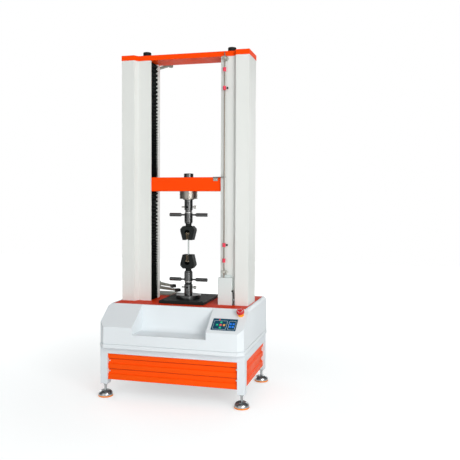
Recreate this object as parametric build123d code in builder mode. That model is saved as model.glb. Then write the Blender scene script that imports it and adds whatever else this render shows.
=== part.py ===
from build123d import *
import os
from math import atan2, cos, degrees, radians, sin, tan

os.makedirs("parts", exist_ok=True)

# Universal testing machine, millimetres.
# X runs to the right, Y to the rear and Z up. The origin is on the floor, under the middle of the base.

# Driving dimensions of the whole machine
test_width = 400.0
base_width = 784.0
base_depth = 600.0
load_axis_reach = 327.0
table_top = 482.0
column_height = 1324.0
specimen_free_length = 81.0

# Clearances
face_gap = 0.3
fit_gap = 0.1
running_gap = 0.05
side_gap = 0.4
overrun = 5.0

# Columns
column_width = 160.0
column_front = 85.0
column_recess = 25.5
column_bevel = 16.0
column_outer_band = 72.0
column_rear = 80.0
cover_wall = 3.0
slot_margin = 1.0
slot_cut = 12.0
slot_return = 18.0
slot_return_sheet = 2.0

# Table and top plate
table_width = 732.0
table_thickness = 28.0
table_lip = 4.0
table_rear_margin = 7.0
top_thickness = 27.5
top_overhang = 1.5

# Crosshead, guides and screws
crosshead_depth = 98.0
crosshead_thickness = 76.0
crosshead_end_margin = 13.0
guide_offset = 45.0
guide_diameter = 40.0
screw_offset = 112.0
screw_diameter = 32.0
screw_journal = 24.0
nut_diameter = 54.0
nut_flange_diameter = 62.0
nut_flange_thickness = 12.0
nut_drop = 18.0

# Load string
base_plate_thickness = 16.0
flange_thickness = 20.0
grip_length = 222.0
load_cell_height = 47.0
string_diameter = 47.0
stem_diameter = 24.0

# Base stand
leg_side = 40.0
leg_foot_height = 70.0
beam_bottom = 233.0
beam_top_height = 270.0
post_side = 30.0

# Hood
hood_side_inset = 4.0
hood_wall = 3.0
lip_height = 20.0
lip_proud = 2.0
lip_groove = 1.6
slope_start_height = 381.0
slope_run = 140.0
hood_corner = 29.0
hood_top_edge = 12.0
tray_width = 396.0
tray_floor = 345.0
tray_bend = 26.0

# Places worked out from the driving dimensions
load_y = load_axis_reach - base_depth / 2
half_test = test_width / 2
column_outer = half_test + column_width
column_top = table_top + column_height
front_y = load_y - column_front
recess_y = front_y + column_recess
rear_y = load_y + column_rear
guide_x = half_test + guide_offset
screw_x = half_test + screw_offset
table_under = table_top - table_thickness
base_plate_top = table_top + base_plate_thickness
flange_top = base_plate_top + flange_thickness
lower_mouth = flange_top + grip_length
upper_mouth = lower_mouth + specimen_free_length
cell_bottom = upper_mouth + grip_length
crosshead_bottom = cell_bottom + load_cell_height
crosshead_top = crosshead_bottom + crosshead_thickness
hood_front = -base_depth / 2 + lip_proud
hood_rear = base_depth / 2 - lip_proud
slope_top_y = hood_front + slope_run
slope_angle = degrees(atan2(table_top - slope_start_height, slope_run))
table_front = slope_top_y + table_lip
table_rear = base_depth / 2 - table_rear_margin
load_axis = Axis((0, load_y, 0), (0, 0, 1))


def axis_at(x, y):
    """A vertical axis through a point of the plan."""
    return Axis((x, y, 0), (0, 0, 1))


# Left and right column covers: a folded shell with a slot for the crosshead in its inner face,
# the slot's edges folded inwards
slot_half = crosshead_depth / 2 + slot_margin


def column_outline(side, grow):
    """The stepped plan of one column, grown outwards by a distance."""
    inner = half_test - grow
    outer = column_outer + grow
    band = column_outer - column_outer_band - grow * tan(radians(45) / 2)
    foot = band - column_bevel
    return [
        (side * outer, front_y - grow),
        (side * band, front_y - grow),
        (side * foot, recess_y - grow),
        (side * inner, recess_y - grow),
        (side * inner, rear_y + grow),
        (side * outer, rear_y + grow),
    ]


def column_cover(side):
    """One column cover, open at its top and bottom."""
    with BuildPart() as cover:
        with BuildSketch(Plane.XY.offset(table_top)):
            with BuildLine():
                Polyline(*column_outline(side, 0), close=True)
            make_face()
            with BuildLine():
                Polyline(*column_outline(side, -cover_wall), close=True)
            make_face(mode=Mode.SUBTRACT)
            with Locations((side * half_test, load_y)):
                Rectangle(2 * slot_cut, 2 * slot_half, mode=Mode.SUBTRACT)
            edge_y = slot_half + slot_return_sheet / 2
            with Locations((side * (half_test + slot_return / 2), load_y)):
                with Locations((0, -edge_y), (0, edge_y)):
                    Rectangle(slot_return, slot_return_sheet)
        extrude(amount=column_height)
    return cover


left_column_cover = column_cover(-1)
left_column_cover.part.label = "left_column_cover"
export_step(left_column_cover.part, "parts/left_column_cover.step")

right_column_cover = column_cover(1)
right_column_cover.part.label = "right_column_cover"
export_step(right_column_cover.part, "parts/right_column_cover.step")

# Guide columns: two ground bars that carry the top plate
top_bolt_head = 45.0
top_bolt_head_height = 30.0
top_bolt_shank = 20.0
top_bolt_reach = 40.0
socket_size = 17.0
socket_depth = 14.0

with BuildPart() as guide_columns:
    with BuildSketch(Plane.XY.offset(table_top)):
        with Locations((-guide_x, load_y), (guide_x, load_y)):
            Circle(guide_diameter / 2)
    extrude(amount=column_height)
    with BuildSketch(Plane.XY.offset(column_top)):
        with Locations((-guide_x, load_y), (guide_x, load_y)):
            Circle(top_bolt_shank / 2 + running_gap)
    extrude(amount=-(top_bolt_reach - top_thickness + running_gap), mode=Mode.SUBTRACT)
guide_columns.part.label = "guide_columns"
export_step(guide_columns.part, "parts/guide_columns.step")

# Top plate: the crown that ties both columns, in the columns' own stepped outline
upper_journal = 20.0
upper_journal_depth = 14.0
top_edge = 1.5

with BuildPart() as top_plate:
    with BuildSketch(Plane.XY.offset(column_top)):
        with BuildLine():
            left_side = column_outline(-1, top_overhang)
            right_side = column_outline(1, top_overhang)
            outline = left_side[:3] + right_side[2::-1] + [right_side[5], left_side[5]]
            Polyline(*outline, close=True)
        make_face()
    extrude(amount=top_thickness)
    chamfer(top_plate.faces().sort_by(Axis.Z)[-1].edges(), length=top_edge)
    with BuildSketch(Plane.XY.offset(column_top)):
        with Locations((-guide_x, load_y), (guide_x, load_y)):
            Circle(top_bolt_shank / 2 + running_gap)
    extrude(amount=top_thickness, mode=Mode.SUBTRACT)
    with BuildSketch(Plane.XY.offset(column_top)):
        with Locations((-screw_x, load_y), (screw_x, load_y)):
            Circle(upper_journal / 2 + running_gap)
    extrude(amount=upper_journal_depth, mode=Mode.SUBTRACT)
top_plate.part.label = "top_plate"
export_step(top_plate.part, "parts/top_plate.step")

top_face = column_top + top_thickness


def socket_bolt(x, head_bottom, head, head_height, shank, reach, chamfer_size):
    """A socket head cap bolt on a vertical axis, its head standing on a face."""
    with BuildPart() as bolt:
        with BuildSketch(Plane.XY.offset(head_bottom)):
            with Locations((x, load_y)):
                Circle(head / 2)
        extrude(amount=head_height)
        chamfer(bolt.faces().sort_by(Axis.Z)[-1].edges(), length=chamfer_size)
        with BuildSketch(Plane.XY.offset(head_bottom)):
            with Locations((x, load_y)):
                Circle(shank / 2)
        extrude(amount=-reach)
        with BuildSketch(Plane.XY.offset(head_bottom + head_height)):
            with Locations((x, load_y)):
                RegularPolygon(socket_size / 2, 6, major_radius=False)
        extrude(amount=-socket_depth, mode=Mode.SUBTRACT)
    return bolt


top_bolt_edge = 2.0
top_bolt = socket_bolt(
    guide_x, top_face, top_bolt_head, top_bolt_head_height, top_bolt_shank, top_bolt_reach, top_bolt_edge
)
with BuildPart() as top_bolts:
    add(top_bolt.part)
    mirror(about=Plane.YZ)
top_bolts.part.label = "top_bolts"
export_step(top_bolts.part, "parts/top_bolts.step")

# Table plate: the lower member that the columns stand on
table_edge = 1.0

with BuildPart() as table_plate:
    with BuildSketch(Plane.XY.offset(table_under)):
        with Locations((0, (table_front + table_rear) / 2)):
            Rectangle(table_width, table_rear - table_front)
    extrude(amount=table_thickness)
    chamfer(table_plate.faces().sort_by(Axis.Z)[-1].edges(), length=table_edge)
    with BuildSketch(Plane.XY.offset(table_under)):
        with Locations((-screw_x, load_y), (screw_x, load_y)):
            Circle(screw_journal / 2 + running_gap)
    extrude(amount=table_thickness, mode=Mode.SUBTRACT)
table_plate.part.label = "table_plate"
export_step(table_plate.part, "parts/table_plate.step")

# Ball screws: a shouldered shaft each, with the belt pulley fixed at its foot
screw_pulley_diameter = 100.0
pulley_clearance = 27.0
pulley_bottom = beam_top_height + pulley_clearance
pulley_height = 28.0
pulley_flange = 3.0
screw_foot = 290.0


def ball_screw(side):
    """One ball screw with its toothed belt pulley."""
    axis_x = side * screw_x
    rim = screw_pulley_diameter / 2
    journal = screw_journal / 2
    barrel = screw_diameter / 2
    tip = upper_journal / 2
    points = [
        (axis_x, screw_foot),
        (axis_x + journal, screw_foot),
        (axis_x + journal, pulley_bottom),
        (axis_x + rim + pulley_flange, pulley_bottom),
        (axis_x + rim + pulley_flange, pulley_bottom + pulley_flange),
        (axis_x + rim, pulley_bottom + pulley_flange),
        (axis_x + rim, pulley_bottom + pulley_height - pulley_flange),
        (axis_x + rim + pulley_flange, pulley_bottom + pulley_height - pulley_flange),
        (axis_x + rim + pulley_flange, pulley_bottom + pulley_height),
        (axis_x + journal, pulley_bottom + pulley_height),
        (axis_x + journal, table_top + face_gap),
        (axis_x + barrel, table_top + face_gap),
        (axis_x + barrel, column_top - face_gap),
        (axis_x + tip, column_top - face_gap),
        (axis_x + tip, column_top + upper_journal_depth - face_gap),
        (axis_x, column_top + upper_journal_depth - face_gap),
    ]
    with BuildPart() as screw:
        with BuildSketch(Plane.XZ.offset(-load_y)):
            with BuildLine():
                Polyline(*points, close=True)
            make_face()
        revolve(axis=axis_at(axis_x, load_y))
    return screw


left_ball_screw = ball_screw(-1)
left_ball_screw.part.label = "left_ball_screw"
export_step(left_ball_screw.part, "parts/left_ball_screw.step")

right_ball_screw = ball_screw(1)
right_ball_screw.part.label = "right_ball_screw"
export_step(right_ball_screw.part, "parts/right_ball_screw.step")

# Crosshead: one beam through both column slots, bored for guides, nuts and the centre bolt
centre_bolt_head = 54.0
centre_bolt_head_height = 22.0
centre_bolt_shank = 24.0
cell_top_hole = 20.0
crosshead_edge = 1.5
crosshead_half = column_outer - crosshead_end_margin

with BuildPart() as crosshead:
    with BuildSketch(Plane.XY.offset(crosshead_bottom)):
        with Locations((0, load_y)):
            Rectangle(2 * crosshead_half, crosshead_depth)
    extrude(amount=crosshead_thickness)
    chamfer(crosshead.edges().filter_by(Axis.X), length=crosshead_edge)
    with BuildSketch(Plane.XY.offset(crosshead_bottom)):
        with Locations((-guide_x, load_y), (guide_x, load_y)):
            Circle(guide_diameter / 2 + fit_gap)
        with Locations((-screw_x, load_y), (screw_x, load_y)):
            Circle(nut_diameter / 2 + running_gap)
        with Locations((0, load_y)):
            Circle(centre_bolt_shank / 2 + running_gap)
    extrude(amount=crosshead_thickness, mode=Mode.SUBTRACT)
crosshead.part.label = "crosshead"
export_step(crosshead.part, "parts/crosshead.step")

with BuildPart() as ball_nuts:
    with BuildSketch(Plane.XY.offset(crosshead_bottom)):
        with Locations((-screw_x, load_y), (screw_x, load_y)):
            Circle(nut_diameter / 2)
    extrude(amount=crosshead_thickness)
    with BuildSketch(Plane.XY.offset(crosshead_bottom)):
        with Locations((-screw_x, load_y), (screw_x, load_y)):
            Circle(nut_diameter / 2)
    extrude(amount=-nut_drop)
    with BuildSketch(Plane.XY.offset(crosshead_bottom)):
        with Locations((-screw_x, load_y), (screw_x, load_y)):
            Circle(nut_flange_diameter / 2)
    extrude(amount=-nut_flange_thickness)
    with BuildSketch(Plane.XY.offset(crosshead_bottom - nut_drop)):
        with Locations((-screw_x, load_y), (screw_x, load_y)):
            Circle(screw_diameter / 2 + running_gap)
    extrude(amount=crosshead_thickness + nut_drop, mode=Mode.SUBTRACT)
ball_nuts.part.label = "ball_nuts"
export_step(ball_nuts.part, "parts/ball_nuts.step")

centre_bolt_edge = 2.5
crosshead_bolt = socket_bolt(
    0,
    crosshead_top,
    centre_bolt_head,
    centre_bolt_head_height,
    centre_bolt_shank,
    crosshead_thickness + cell_top_hole - overrun,
    centre_bolt_edge,
)
crosshead_bolt.part.label = "crosshead_bolt"
export_step(crosshead_bolt.part, "parts/crosshead_bolt.step")

# Bellows: pleated curtains that close the column slots above and below the crosshead
bellows_depth = 13.0
bellows_sheet = 1.4
bellows_inset = 0.5
pleat_pitch = 19.5
packed_pitch = 7.5
packed_pleats = 8


def pleat_heights(start, length):
    """The heights of the folds, with the lowest few pleats pressed together."""
    packed = packed_pleats * packed_pitch
    open_count = round((length - packed) / pleat_pitch)
    open_step = (length - packed) / open_count
    steps = [packed_pitch] * packed_pleats + [open_step] * open_count
    heights = [start]
    for step in steps:
        heights.append(heights[-1] + step / 2)
        heights.append(heights[-1] + step / 2)
    return heights


def bellows(start, length):
    """A left and a right curtain of folded sheet between two heights."""
    tip = half_test + bellows_inset
    valley = tip + bellows_depth
    heights = pleat_heights(start, length)
    near = [(tip if i % 2 else valley, z) for i, z in enumerate(heights)]
    far = [(x + bellows_sheet, z) for x, z in near]
    with BuildPart() as curtain:
        with BuildSketch(Plane.XZ.offset(-load_y)):
            with BuildLine():
                Polyline(*near, *far[::-1], close=True)
            make_face()
        extrude(amount=slot_half - side_gap, both=True)
        mirror(about=Plane.YZ)
    return curtain


lower_bellows = bellows(table_top + face_gap, crosshead_bottom - table_top - 2 * face_gap)
lower_bellows.part.label = "lower_bellows"
export_step(lower_bellows.part, "parts/lower_bellows.step")

upper_bellows = bellows(crosshead_top + face_gap, column_top - crosshead_top - 2 * face_gap)
upper_bellows.part.label = "upper_bellows"
export_step(upper_bellows.part, "parts/upper_bellows.step")

# Load cell: a pancake cell with a stepped hub and a shallow groove round its rim
cell_diameter = 100.0
cell_hub_diameter = 62.0
cell_hub_height = 5.0
cell_groove_height = 4.0
cell_groove_depth = 1.6
cell_groove_inset = 8.0
cell_stud = 20.0
cell_stud_length = 16.0
cell_edge = 1.2

with BuildPart() as load_cell:
    cell_rim = cell_diameter / 2
    cell_hub = cell_hub_diameter / 2
    low_groove = cell_bottom + cell_hub_height + cell_groove_inset
    high_groove = crosshead_bottom - cell_groove_inset - cell_groove_height
    with BuildSketch(Plane.XZ.offset(-load_y)):
        with BuildLine():
            Polyline(
                (0, cell_bottom),
                (cell_hub, cell_bottom),
                (cell_hub, cell_bottom + cell_hub_height),
                (cell_rim - cell_edge, cell_bottom + cell_hub_height),
                (cell_rim, cell_bottom + cell_hub_height + cell_edge),
                (cell_rim, low_groove),
                (cell_rim - cell_groove_depth, low_groove),
                (cell_rim - cell_groove_depth, low_groove + cell_groove_height),
                (cell_rim, low_groove + cell_groove_height),
                (cell_rim, high_groove),
                (cell_rim - cell_groove_depth, high_groove),
                (cell_rim - cell_groove_depth, high_groove + cell_groove_height),
                (cell_rim, high_groove + cell_groove_height),
                (cell_rim, crosshead_bottom),
                (0, crosshead_bottom),
                close=True,
            )
        make_face()
    revolve(axis=load_axis)
    with BuildSketch(Plane.XY.offset(crosshead_bottom)):
        with Locations((0, load_y)):
            Circle(centre_bolt_shank / 2 + running_gap)
    extrude(amount=-cell_top_hole, mode=Mode.SUBTRACT)
    with BuildSketch(Plane.XY.offset(cell_bottom)):
        with Locations((0, load_y)):
            Circle(cell_stud / 2 + running_gap)
    extrude(amount=cell_stud_length + fit_gap, mode=Mode.SUBTRACT)
load_cell.part.label = "load_cell"
export_step(load_cell.part, "parts/load_cell.step")

# Wedge grips, one above and one below the specimen, measured from the mouth along the load axis
body_mouth_width = 55.0
body_width = 81.0
body_shoulder_width = 52.0
body_depth = 56.0
body_widest_start = 50.0
body_widest_end = 61.0
body_height = 77.0
body_edge = 4.0
boss_height = 14.0
boss_diameter = 33.0
pocket_mouth_width = 30.0
pocket_height = 62.0
pocket_depth = 40.0
wedge_angle = 10.0
window_diameter = 30.0
window_centre = 42.0
window_slot = 14.0
sleeve_length = 57.0
sleeve_edge = 2.0
sleeve_neck_depth = 2.0
sleeve_neck_length = 5.0
handle_place = 139.0
handle_rod = 9.5
handle_seat = 6.0
handle_tip = 110.0
handle_grip = 20.0
handle_grip_length = 64.0
handle_taper = 7.0
lock_ring_diameter = 42.0
lock_ring_height = 8.0
collar_diameter = 39.0
collar_height = 8.0
ring_gap = 1.0
stem_socket = 40.0
pin_place = 182.0
pin_diameter = 9.0
pin_left = 40.0
pin_right = 31.0
pin_knob = 17.0
pin_knob_length = 14.0
pin_knob_groove = 2.0
oil_hole = 7.0
oil_hole_depth = 6.0
oil_hole_place = 206.0
flange_diameter = 138.0
flange_edge = 2.0
adapter_edge = 1.5
jaw_low = 3.0
jaw_high = 37.0
jaw_tooth = 4.0
jaw_tooth_depth = 0.9
specimen_thickness = 4.0
specimen_width = 16.0
specimen_hold = 40.0

boss_top = body_height + boss_height
sleeve_start = boss_top + fit_gap
sleeve_end = sleeve_start + sleeve_length
lock_start = sleeve_end + fit_gap
collar_start = lock_start + lock_ring_height + ring_gap
adapter_start = collar_start + collar_height
pocket_roof_half = pocket_mouth_width / 2 + pocket_height * tan(radians(wedge_angle))


def side_plane(up, mouth):
    """The plane across the front of a grip: first direction right, second away from the specimen."""
    return Plane(origin=(0, load_y, mouth), x_dir=(1, 0, 0), z_dir=(0, -up, 0))


def grip_body(up, mouth):
    """The wedge housing: a chamfered block with the wedge pocket, its front window and the round boss."""
    front = side_plane(up, mouth)
    wide = body_width / 2
    with BuildPart() as body:
        with BuildSketch(front):
            with BuildLine():
                Polyline(
                    (-body_mouth_width / 2, 0),
                    (body_mouth_width / 2, 0),
                    (wide, body_widest_start),
                    (wide, body_widest_end),
                    (body_shoulder_width / 2, body_height),
                    (-body_shoulder_width / 2, body_height),
                    (-wide, body_widest_end),
                    (-wide, body_widest_start),
                    close=True,
                )
            make_face()
        extrude(amount=body_depth / 2, both=True)
        faces = body.faces().sort_by(Axis.Y)
        chamfer(faces[0].edges() + faces[-1].edges(), length=body_edge)
        with BuildSketch(front):
            with BuildLine():
                boss = boss_diameter / 2
                Polyline((0, body_height), (boss, body_height), (boss, boss_top), (0, boss_top), close=True)
            make_face()
        revolve(axis=load_axis)
        with BuildSketch(front):
            with BuildLine():
                Polyline(
                    (-pocket_mouth_width / 2, 0),
                    (pocket_mouth_width / 2, 0),
                    (pocket_roof_half, pocket_height),
                    (-pocket_roof_half, pocket_height),
                    close=True,
                )
            make_face()
        extrude(amount=pocket_depth / 2, both=True, mode=Mode.SUBTRACT)
        with BuildSketch(front):
            with Locations((0, window_centre)):
                Circle(window_diameter / 2)
            with Locations((0, window_centre / 2)):
                Rectangle(window_slot, window_centre)
        extrude(amount=up * body_depth, mode=Mode.SUBTRACT)
        with BuildSketch(front):
            with BuildLine():
                bore = stem_diameter / 2 + running_gap
                bore_start = pocket_height - fit_gap
                Polyline((0, bore_start), (bore, bore_start), (bore, boss_top), (0, boss_top), close=True)
            make_face()
        revolve(axis=load_axis, mode=Mode.SUBTRACT)
    return body


def stem(up, mouth):
    """The threaded stem with its shoulder, and the steel lock ring that is screwed on it."""
    front = side_plane(up, mouth)
    radius = stem_diameter / 2
    end = adapter_start + stem_socket - fit_gap
    with BuildPart() as rod:
        with BuildSketch(front):
            with BuildLine():
                Polyline(
                    (0, pocket_height),
                    (radius, pocket_height),
                    (radius, collar_start),
                    (collar_diameter / 2, collar_start),
                    (collar_diameter / 2, adapter_start),
                    (radius, adapter_start),
                    (radius, end),
                    (0, end),
                    close=True,
                )
            make_face()
        revolve(axis=load_axis)
        with BuildSketch(Plane.YZ):
            with Locations((load_y, mouth + up * pin_place)):
                Circle(pin_diameter / 2 + fit_gap)
        extrude(amount=stem_diameter, both=True, mode=Mode.SUBTRACT)
        with BuildSketch(front):
            with BuildLine():
                inner = radius + running_gap
                outer = lock_ring_diameter / 2
                Polyline(
                    (inner, lock_start),
                    (outer, lock_start),
                    (outer, lock_start + lock_ring_height),
                    (inner, lock_start + lock_ring_height),
                    close=True,
                )
            make_face()
        revolve(axis=load_axis)
    return rod


def sleeve(up, mouth):
    """The turning sleeve that draws the wedges, with its two tommy bar handles."""
    front = side_plane(up, mouth)
    inner = stem_diameter / 2 + running_gap
    outer = string_diameter / 2
    neck = outer - sleeve_neck_depth
    root = outer - handle_seat
    grip_start = handle_tip - handle_grip_length
    with BuildPart() as tube:
        with BuildSketch(front):
            with BuildLine():
                Polyline(
                    (inner, sleeve_start),
                    (neck, sleeve_start),
                    (neck, sleeve_start + sleeve_neck_length),
                    (outer, sleeve_start + sleeve_neck_length + sleeve_edge),
                    (outer, sleeve_end - sleeve_edge),
                    (outer - sleeve_edge, sleeve_end),
                    (inner, sleeve_end),
                    close=True,
                )
            make_face()
        revolve(axis=load_axis)
        with BuildSketch(Plane.YZ):
            with Locations((load_y, mouth + up * handle_place)):
                Circle(handle_rod / 2 + running_gap)
        extrude(amount=outer, both=True, mode=Mode.SUBTRACT)
        with BuildSketch(front):
            with BuildLine():
                seat = sleeve_start + sleeve_length / 2
                Polyline((inner, seat), (root, seat), (root, sleeve_end), (inner, sleeve_end), close=True)
            make_face()
        revolve(axis=load_axis)
        with BuildSketch(front):
            with BuildLine():
                rod = handle_place + handle_rod / 2
                grip = handle_place + handle_grip / 2
                Polyline(
                    (root, handle_place),
                    (root, rod),
                    (grip_start - handle_taper, rod),
                    (grip_start, grip),
                    (handle_tip - sleeve_edge, grip),
                    (handle_tip, grip - sleeve_edge),
                    (handle_tip, handle_place),
                    close=True,
                )
            make_face()
        revolve(axis=Axis((0, load_y, mouth + up * handle_place), (1, 0, 0)))
        with BuildSketch(front):
            with BuildLine():
                Polyline(
                    (-root, handle_place),
                    (-root, rod),
                    (-grip_start + handle_taper, rod),
                    (-grip_start, grip),
                    (-handle_tip + sleeve_edge, grip),
                    (-handle_tip, grip - sleeve_edge),
                    (-handle_tip, handle_place),
                    close=True,
                )
            make_face()
        revolve(axis=Axis((0, load_y, mouth + up * handle_place), (1, 0, 0)))
    return tube


def adapter(up, mouth, flanged):
    """The socket that takes the stem and its cross pin, with a flange below or a stud above."""
    front = side_plane(up, mouth)
    outer = string_diameter / 2
    bore = stem_diameter / 2 + running_gap
    end = grip_length + flange_thickness if flanged else grip_length + cell_stud_length
    reach = flange_diameter / 2 if flanged else cell_stud / 2
    with BuildPart() as socket:
        with BuildSketch(front):
            with BuildLine():
                Polyline(
                    (bore, adapter_start),
                    (outer - adapter_edge, adapter_start),
                    (outer, adapter_start + adapter_edge),
                    (outer, grip_length),
                    (reach, grip_length),
                    (reach, end),
                    (0, end),
                    (0, adapter_start + stem_socket),
                    (bore, adapter_start + stem_socket),
                    close=True,
                )
            make_face()
        revolve(axis=load_axis)
        if flanged:
            rims = socket.edges().filter_by(GeomType.CIRCLE)
            wide_rims = rims.filter_by(lambda e: e.radius > outer + flange_edge)
            chamfer(wide_rims.sort_by(Axis.Z)[-1], length=flange_edge)
        with BuildSketch(Plane.YZ):
            with Locations((load_y, mouth + up * pin_place)):
                Circle(pin_diameter / 2 + fit_gap)
        extrude(amount=string_diameter, both=True, mode=Mode.SUBTRACT)
        with BuildSketch(Plane.XZ.offset(outer - load_y)):
            with Locations((0, mouth + up * oil_hole_place)):
                Circle(oil_hole / 2)
        extrude(amount=-oil_hole_depth, mode=Mode.SUBTRACT)
    return socket


def cross_pin(up, mouth):
    """The pin across the adapter, with a ribbed knob at its right end."""
    height = mouth + up * pin_place
    radius = pin_diameter / 2
    knob = pin_knob / 2
    knob_end = pin_right + pin_knob_length
    groove = (pin_knob_length - pin_knob_groove) / 2
    with BuildPart() as pin:
        with BuildSketch(Plane.XZ.offset(-load_y)):
            with BuildLine():
                Polyline(
                    (-pin_left, height),
                    (-pin_left, height + radius - adapter_edge),
                    (-pin_left + adapter_edge, height + radius),
                    (pin_right, height + radius),
                    (pin_right, height + knob),
                    (pin_right + groove, height + knob),
                    (pin_right + groove, height + knob - pin_knob_groove),
                    (pin_right + groove + pin_knob_groove, height + knob - pin_knob_groove),
                    (pin_right + groove + pin_knob_groove, height + knob),
                    (knob_end, height + knob),
                    (knob_end, height),
                    close=True,
                )
            make_face()
        revolve(axis=Axis((0, load_y, height), (1, 0, 0)))
    return pin


def jaw(up, mouth, side):
    """One wedge jaw: a sloping back along the pocket and a toothed face towards the specimen."""
    face = specimen_thickness / 2 + fit_gap
    slope = tan(radians(wedge_angle))
    back = pocket_mouth_width / 2 - fit_gap / cos(radians(wedge_angle))
    teeth = round((jaw_high - jaw_low) / jaw_tooth)
    step = (jaw_high - jaw_low) / teeth
    bite = []
    for i in range(teeth):
        low = jaw_high - i * step
        bite.append((side * face, low))
        bite.append((side * (face + jaw_tooth_depth), low - step / 2))
    bite.append((side * face, jaw_low))
    with BuildPart() as wedge:
        with BuildSketch(side_plane(up, mouth)):
            with BuildLine():
                Polyline(
                    (side * (back + jaw_low * slope), jaw_low),
                    (side * (back + jaw_high * slope), jaw_high),
                    *bite,
                    close=True,
                )
            make_face()
        extrude(amount=pocket_depth / 2 - fit_gap, both=True)
    return wedge


for place, up, mouth in (("lower", -1, lower_mouth), ("upper", 1, upper_mouth)):
    body = grip_body(up, mouth)
    body.part.label = f"{place}_grip_body"
    export_step(body.part, f"parts/{place}_grip_body.step")
    rod = stem(up, mouth)
    rod.part.label = f"{place}_stem"
    export_step(rod.part, f"parts/{place}_stem.step")
    tube = sleeve(up, mouth)
    tube.part.label = f"{place}_sleeve"
    export_step(tube.part, f"parts/{place}_sleeve.step")
    socket = adapter(up, mouth, up < 0)
    socket.part.label = f"{place}_adapter"
    export_step(socket.part, f"parts/{place}_adapter.step")
    pin = cross_pin(up, mouth)
    pin.part.label = f"{place}_pin"
    export_step(pin.part, f"parts/{place}_pin.step")
    for hand, side in (("left", -1), ("right", 1)):
        wedge = jaw(up, mouth, side)
        wedge.part.label = f"{place}_{hand}_jaw"
        export_step(wedge.part, f"parts/{place}_{hand}_jaw.step")

with BuildPart() as specimen:
    with BuildSketch(Plane.XY.offset(lower_mouth - specimen_hold)):
        with Locations((0, load_y)):
            Rectangle(specimen_thickness, specimen_width)
    extrude(amount=specimen_free_length + 2 * specimen_hold)
specimen.part.label = "specimen"
export_step(specimen.part, "parts/specimen.step")

# Base plate under the lower grip, with four tapped holes for accessories and four fixing screws' recesses
base_plate_width = 252.0
base_plate_front = 127.0
base_plate_rear = 175.0
base_plate_edge = 2.0
accessory_spacing_x = 160.0
accessory_spacing_y = 200.0
accessory_hole = 10.2
fixing_margin = 16.0
fixing_head = 16.0
fixing_recess = 9.0

with BuildPart() as base_plate:
    plate_depth = base_plate_front + base_plate_rear
    plate_y = load_y + (base_plate_rear - base_plate_front) / 2
    with BuildSketch(Plane.XY.offset(table_top)):
        with Locations((0, plate_y)):
            Rectangle(base_plate_width, plate_depth)
    extrude(amount=base_plate_thickness)
    chamfer(base_plate.faces().sort_by(Axis.Z)[-1].edges(), length=base_plate_edge)
    with BuildSketch(Plane.XY.offset(table_top)):
        with Locations((0, load_y)):
            with GridLocations(accessory_spacing_x, accessory_spacing_y, 2, 2):
                Circle(accessory_hole / 2)
    extrude(amount=base_plate_thickness, mode=Mode.SUBTRACT)
    with BuildSketch(Plane.XY.offset(base_plate_top)):
        with Locations((0, plate_y)):
            with GridLocations(base_plate_width - 2 * fixing_margin, plate_depth - 2 * fixing_margin, 2, 2):
                Circle(fixing_head / 2)
    extrude(amount=-fixing_recess, mode=Mode.SUBTRACT)
base_plate.part.label = "base_plate"
export_step(base_plate.part, "parts/base_plate.step")

half_base = base_width / 2

# Base frame: four legs, a ring of beams at the hood's foot and the posts that carry the table
stand_inset = 35.0
stand_front = hood_front + stand_inset
stand_rear = hood_rear - stand_inset
post_front = table_front + 2 * table_lip
post_rear = table_rear - 2 * post_side - 2 * table_rear_margin
post_x = half_base - table_rear_margin - post_side / 2 - side_gap
post_mid = (post_front + post_rear + post_side) / 2
lower_beam = 30.0
lower_ring_inset = 25.0
panel_bottom = 94.0
stud_diameter = 14.0
stud_depth = 30.0

with BuildPart() as base_frame:
    stand_depth = stand_rear - stand_front
    stand_mid = (stand_rear + stand_front) / 2
    with BuildSketch(Plane.XY.offset(leg_foot_height)):
        with Locations((0, stand_mid)):
            with GridLocations(base_width - leg_side, stand_depth - leg_side, 2, 2):
                Rectangle(leg_side, leg_side)
    extrude(amount=beam_top_height - leg_foot_height)
    with BuildSketch(Plane.XY.offset(beam_bottom)):
        with Locations((0, stand_mid)):
            Rectangle(base_width, stand_depth)
            Rectangle(base_width - 2 * leg_side, stand_depth - 2 * leg_side, mode=Mode.SUBTRACT)
    extrude(amount=beam_top_height - beam_bottom)
    with BuildSketch(Plane.XY.offset(panel_bottom)):
        with Locations((0, stand_mid)):
            ring_width = base_width - 2 * lower_ring_inset
            ring_depth = stand_depth - 2 * lower_ring_inset
            Rectangle(ring_width, ring_depth)
            Rectangle(ring_width - 2 * lower_beam, ring_depth - 2 * lower_beam, mode=Mode.SUBTRACT)
    extrude(amount=lower_beam)
    with BuildSketch(Plane.XY.offset(beam_top_height)):
        with Locations((0, post_mid)):
            with GridLocations(2 * post_x, post_rear - post_front, 2, 2):
                Rectangle(post_side, post_side)
    extrude(amount=table_under - beam_top_height)
    with BuildSketch(Plane.XY.offset(table_under - post_side)):
        with Locations((0, post_mid)):
            Rectangle(2 * post_x + post_side, post_rear - post_front + post_side)
            Rectangle(2 * post_x - post_side, post_rear - post_front - post_side, mode=Mode.SUBTRACT)
    extrude(amount=post_side)
    with BuildSketch(Plane.XY.offset(leg_foot_height)):
        with Locations((0, stand_mid)):
            with GridLocations(base_width - leg_side, stand_depth - leg_side, 2, 2):
                Circle(stud_diameter / 2 + running_gap)
    extrude(amount=stud_depth, mode=Mode.SUBTRACT)
base_frame.part.label = "base_frame"
export_step(base_frame.part, "parts/base_frame.step")

# Hood: a folded sheet cover round the base, with the sloping console and its tray
tray_back = slope_top_y - hood_wall + face_gap


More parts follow.
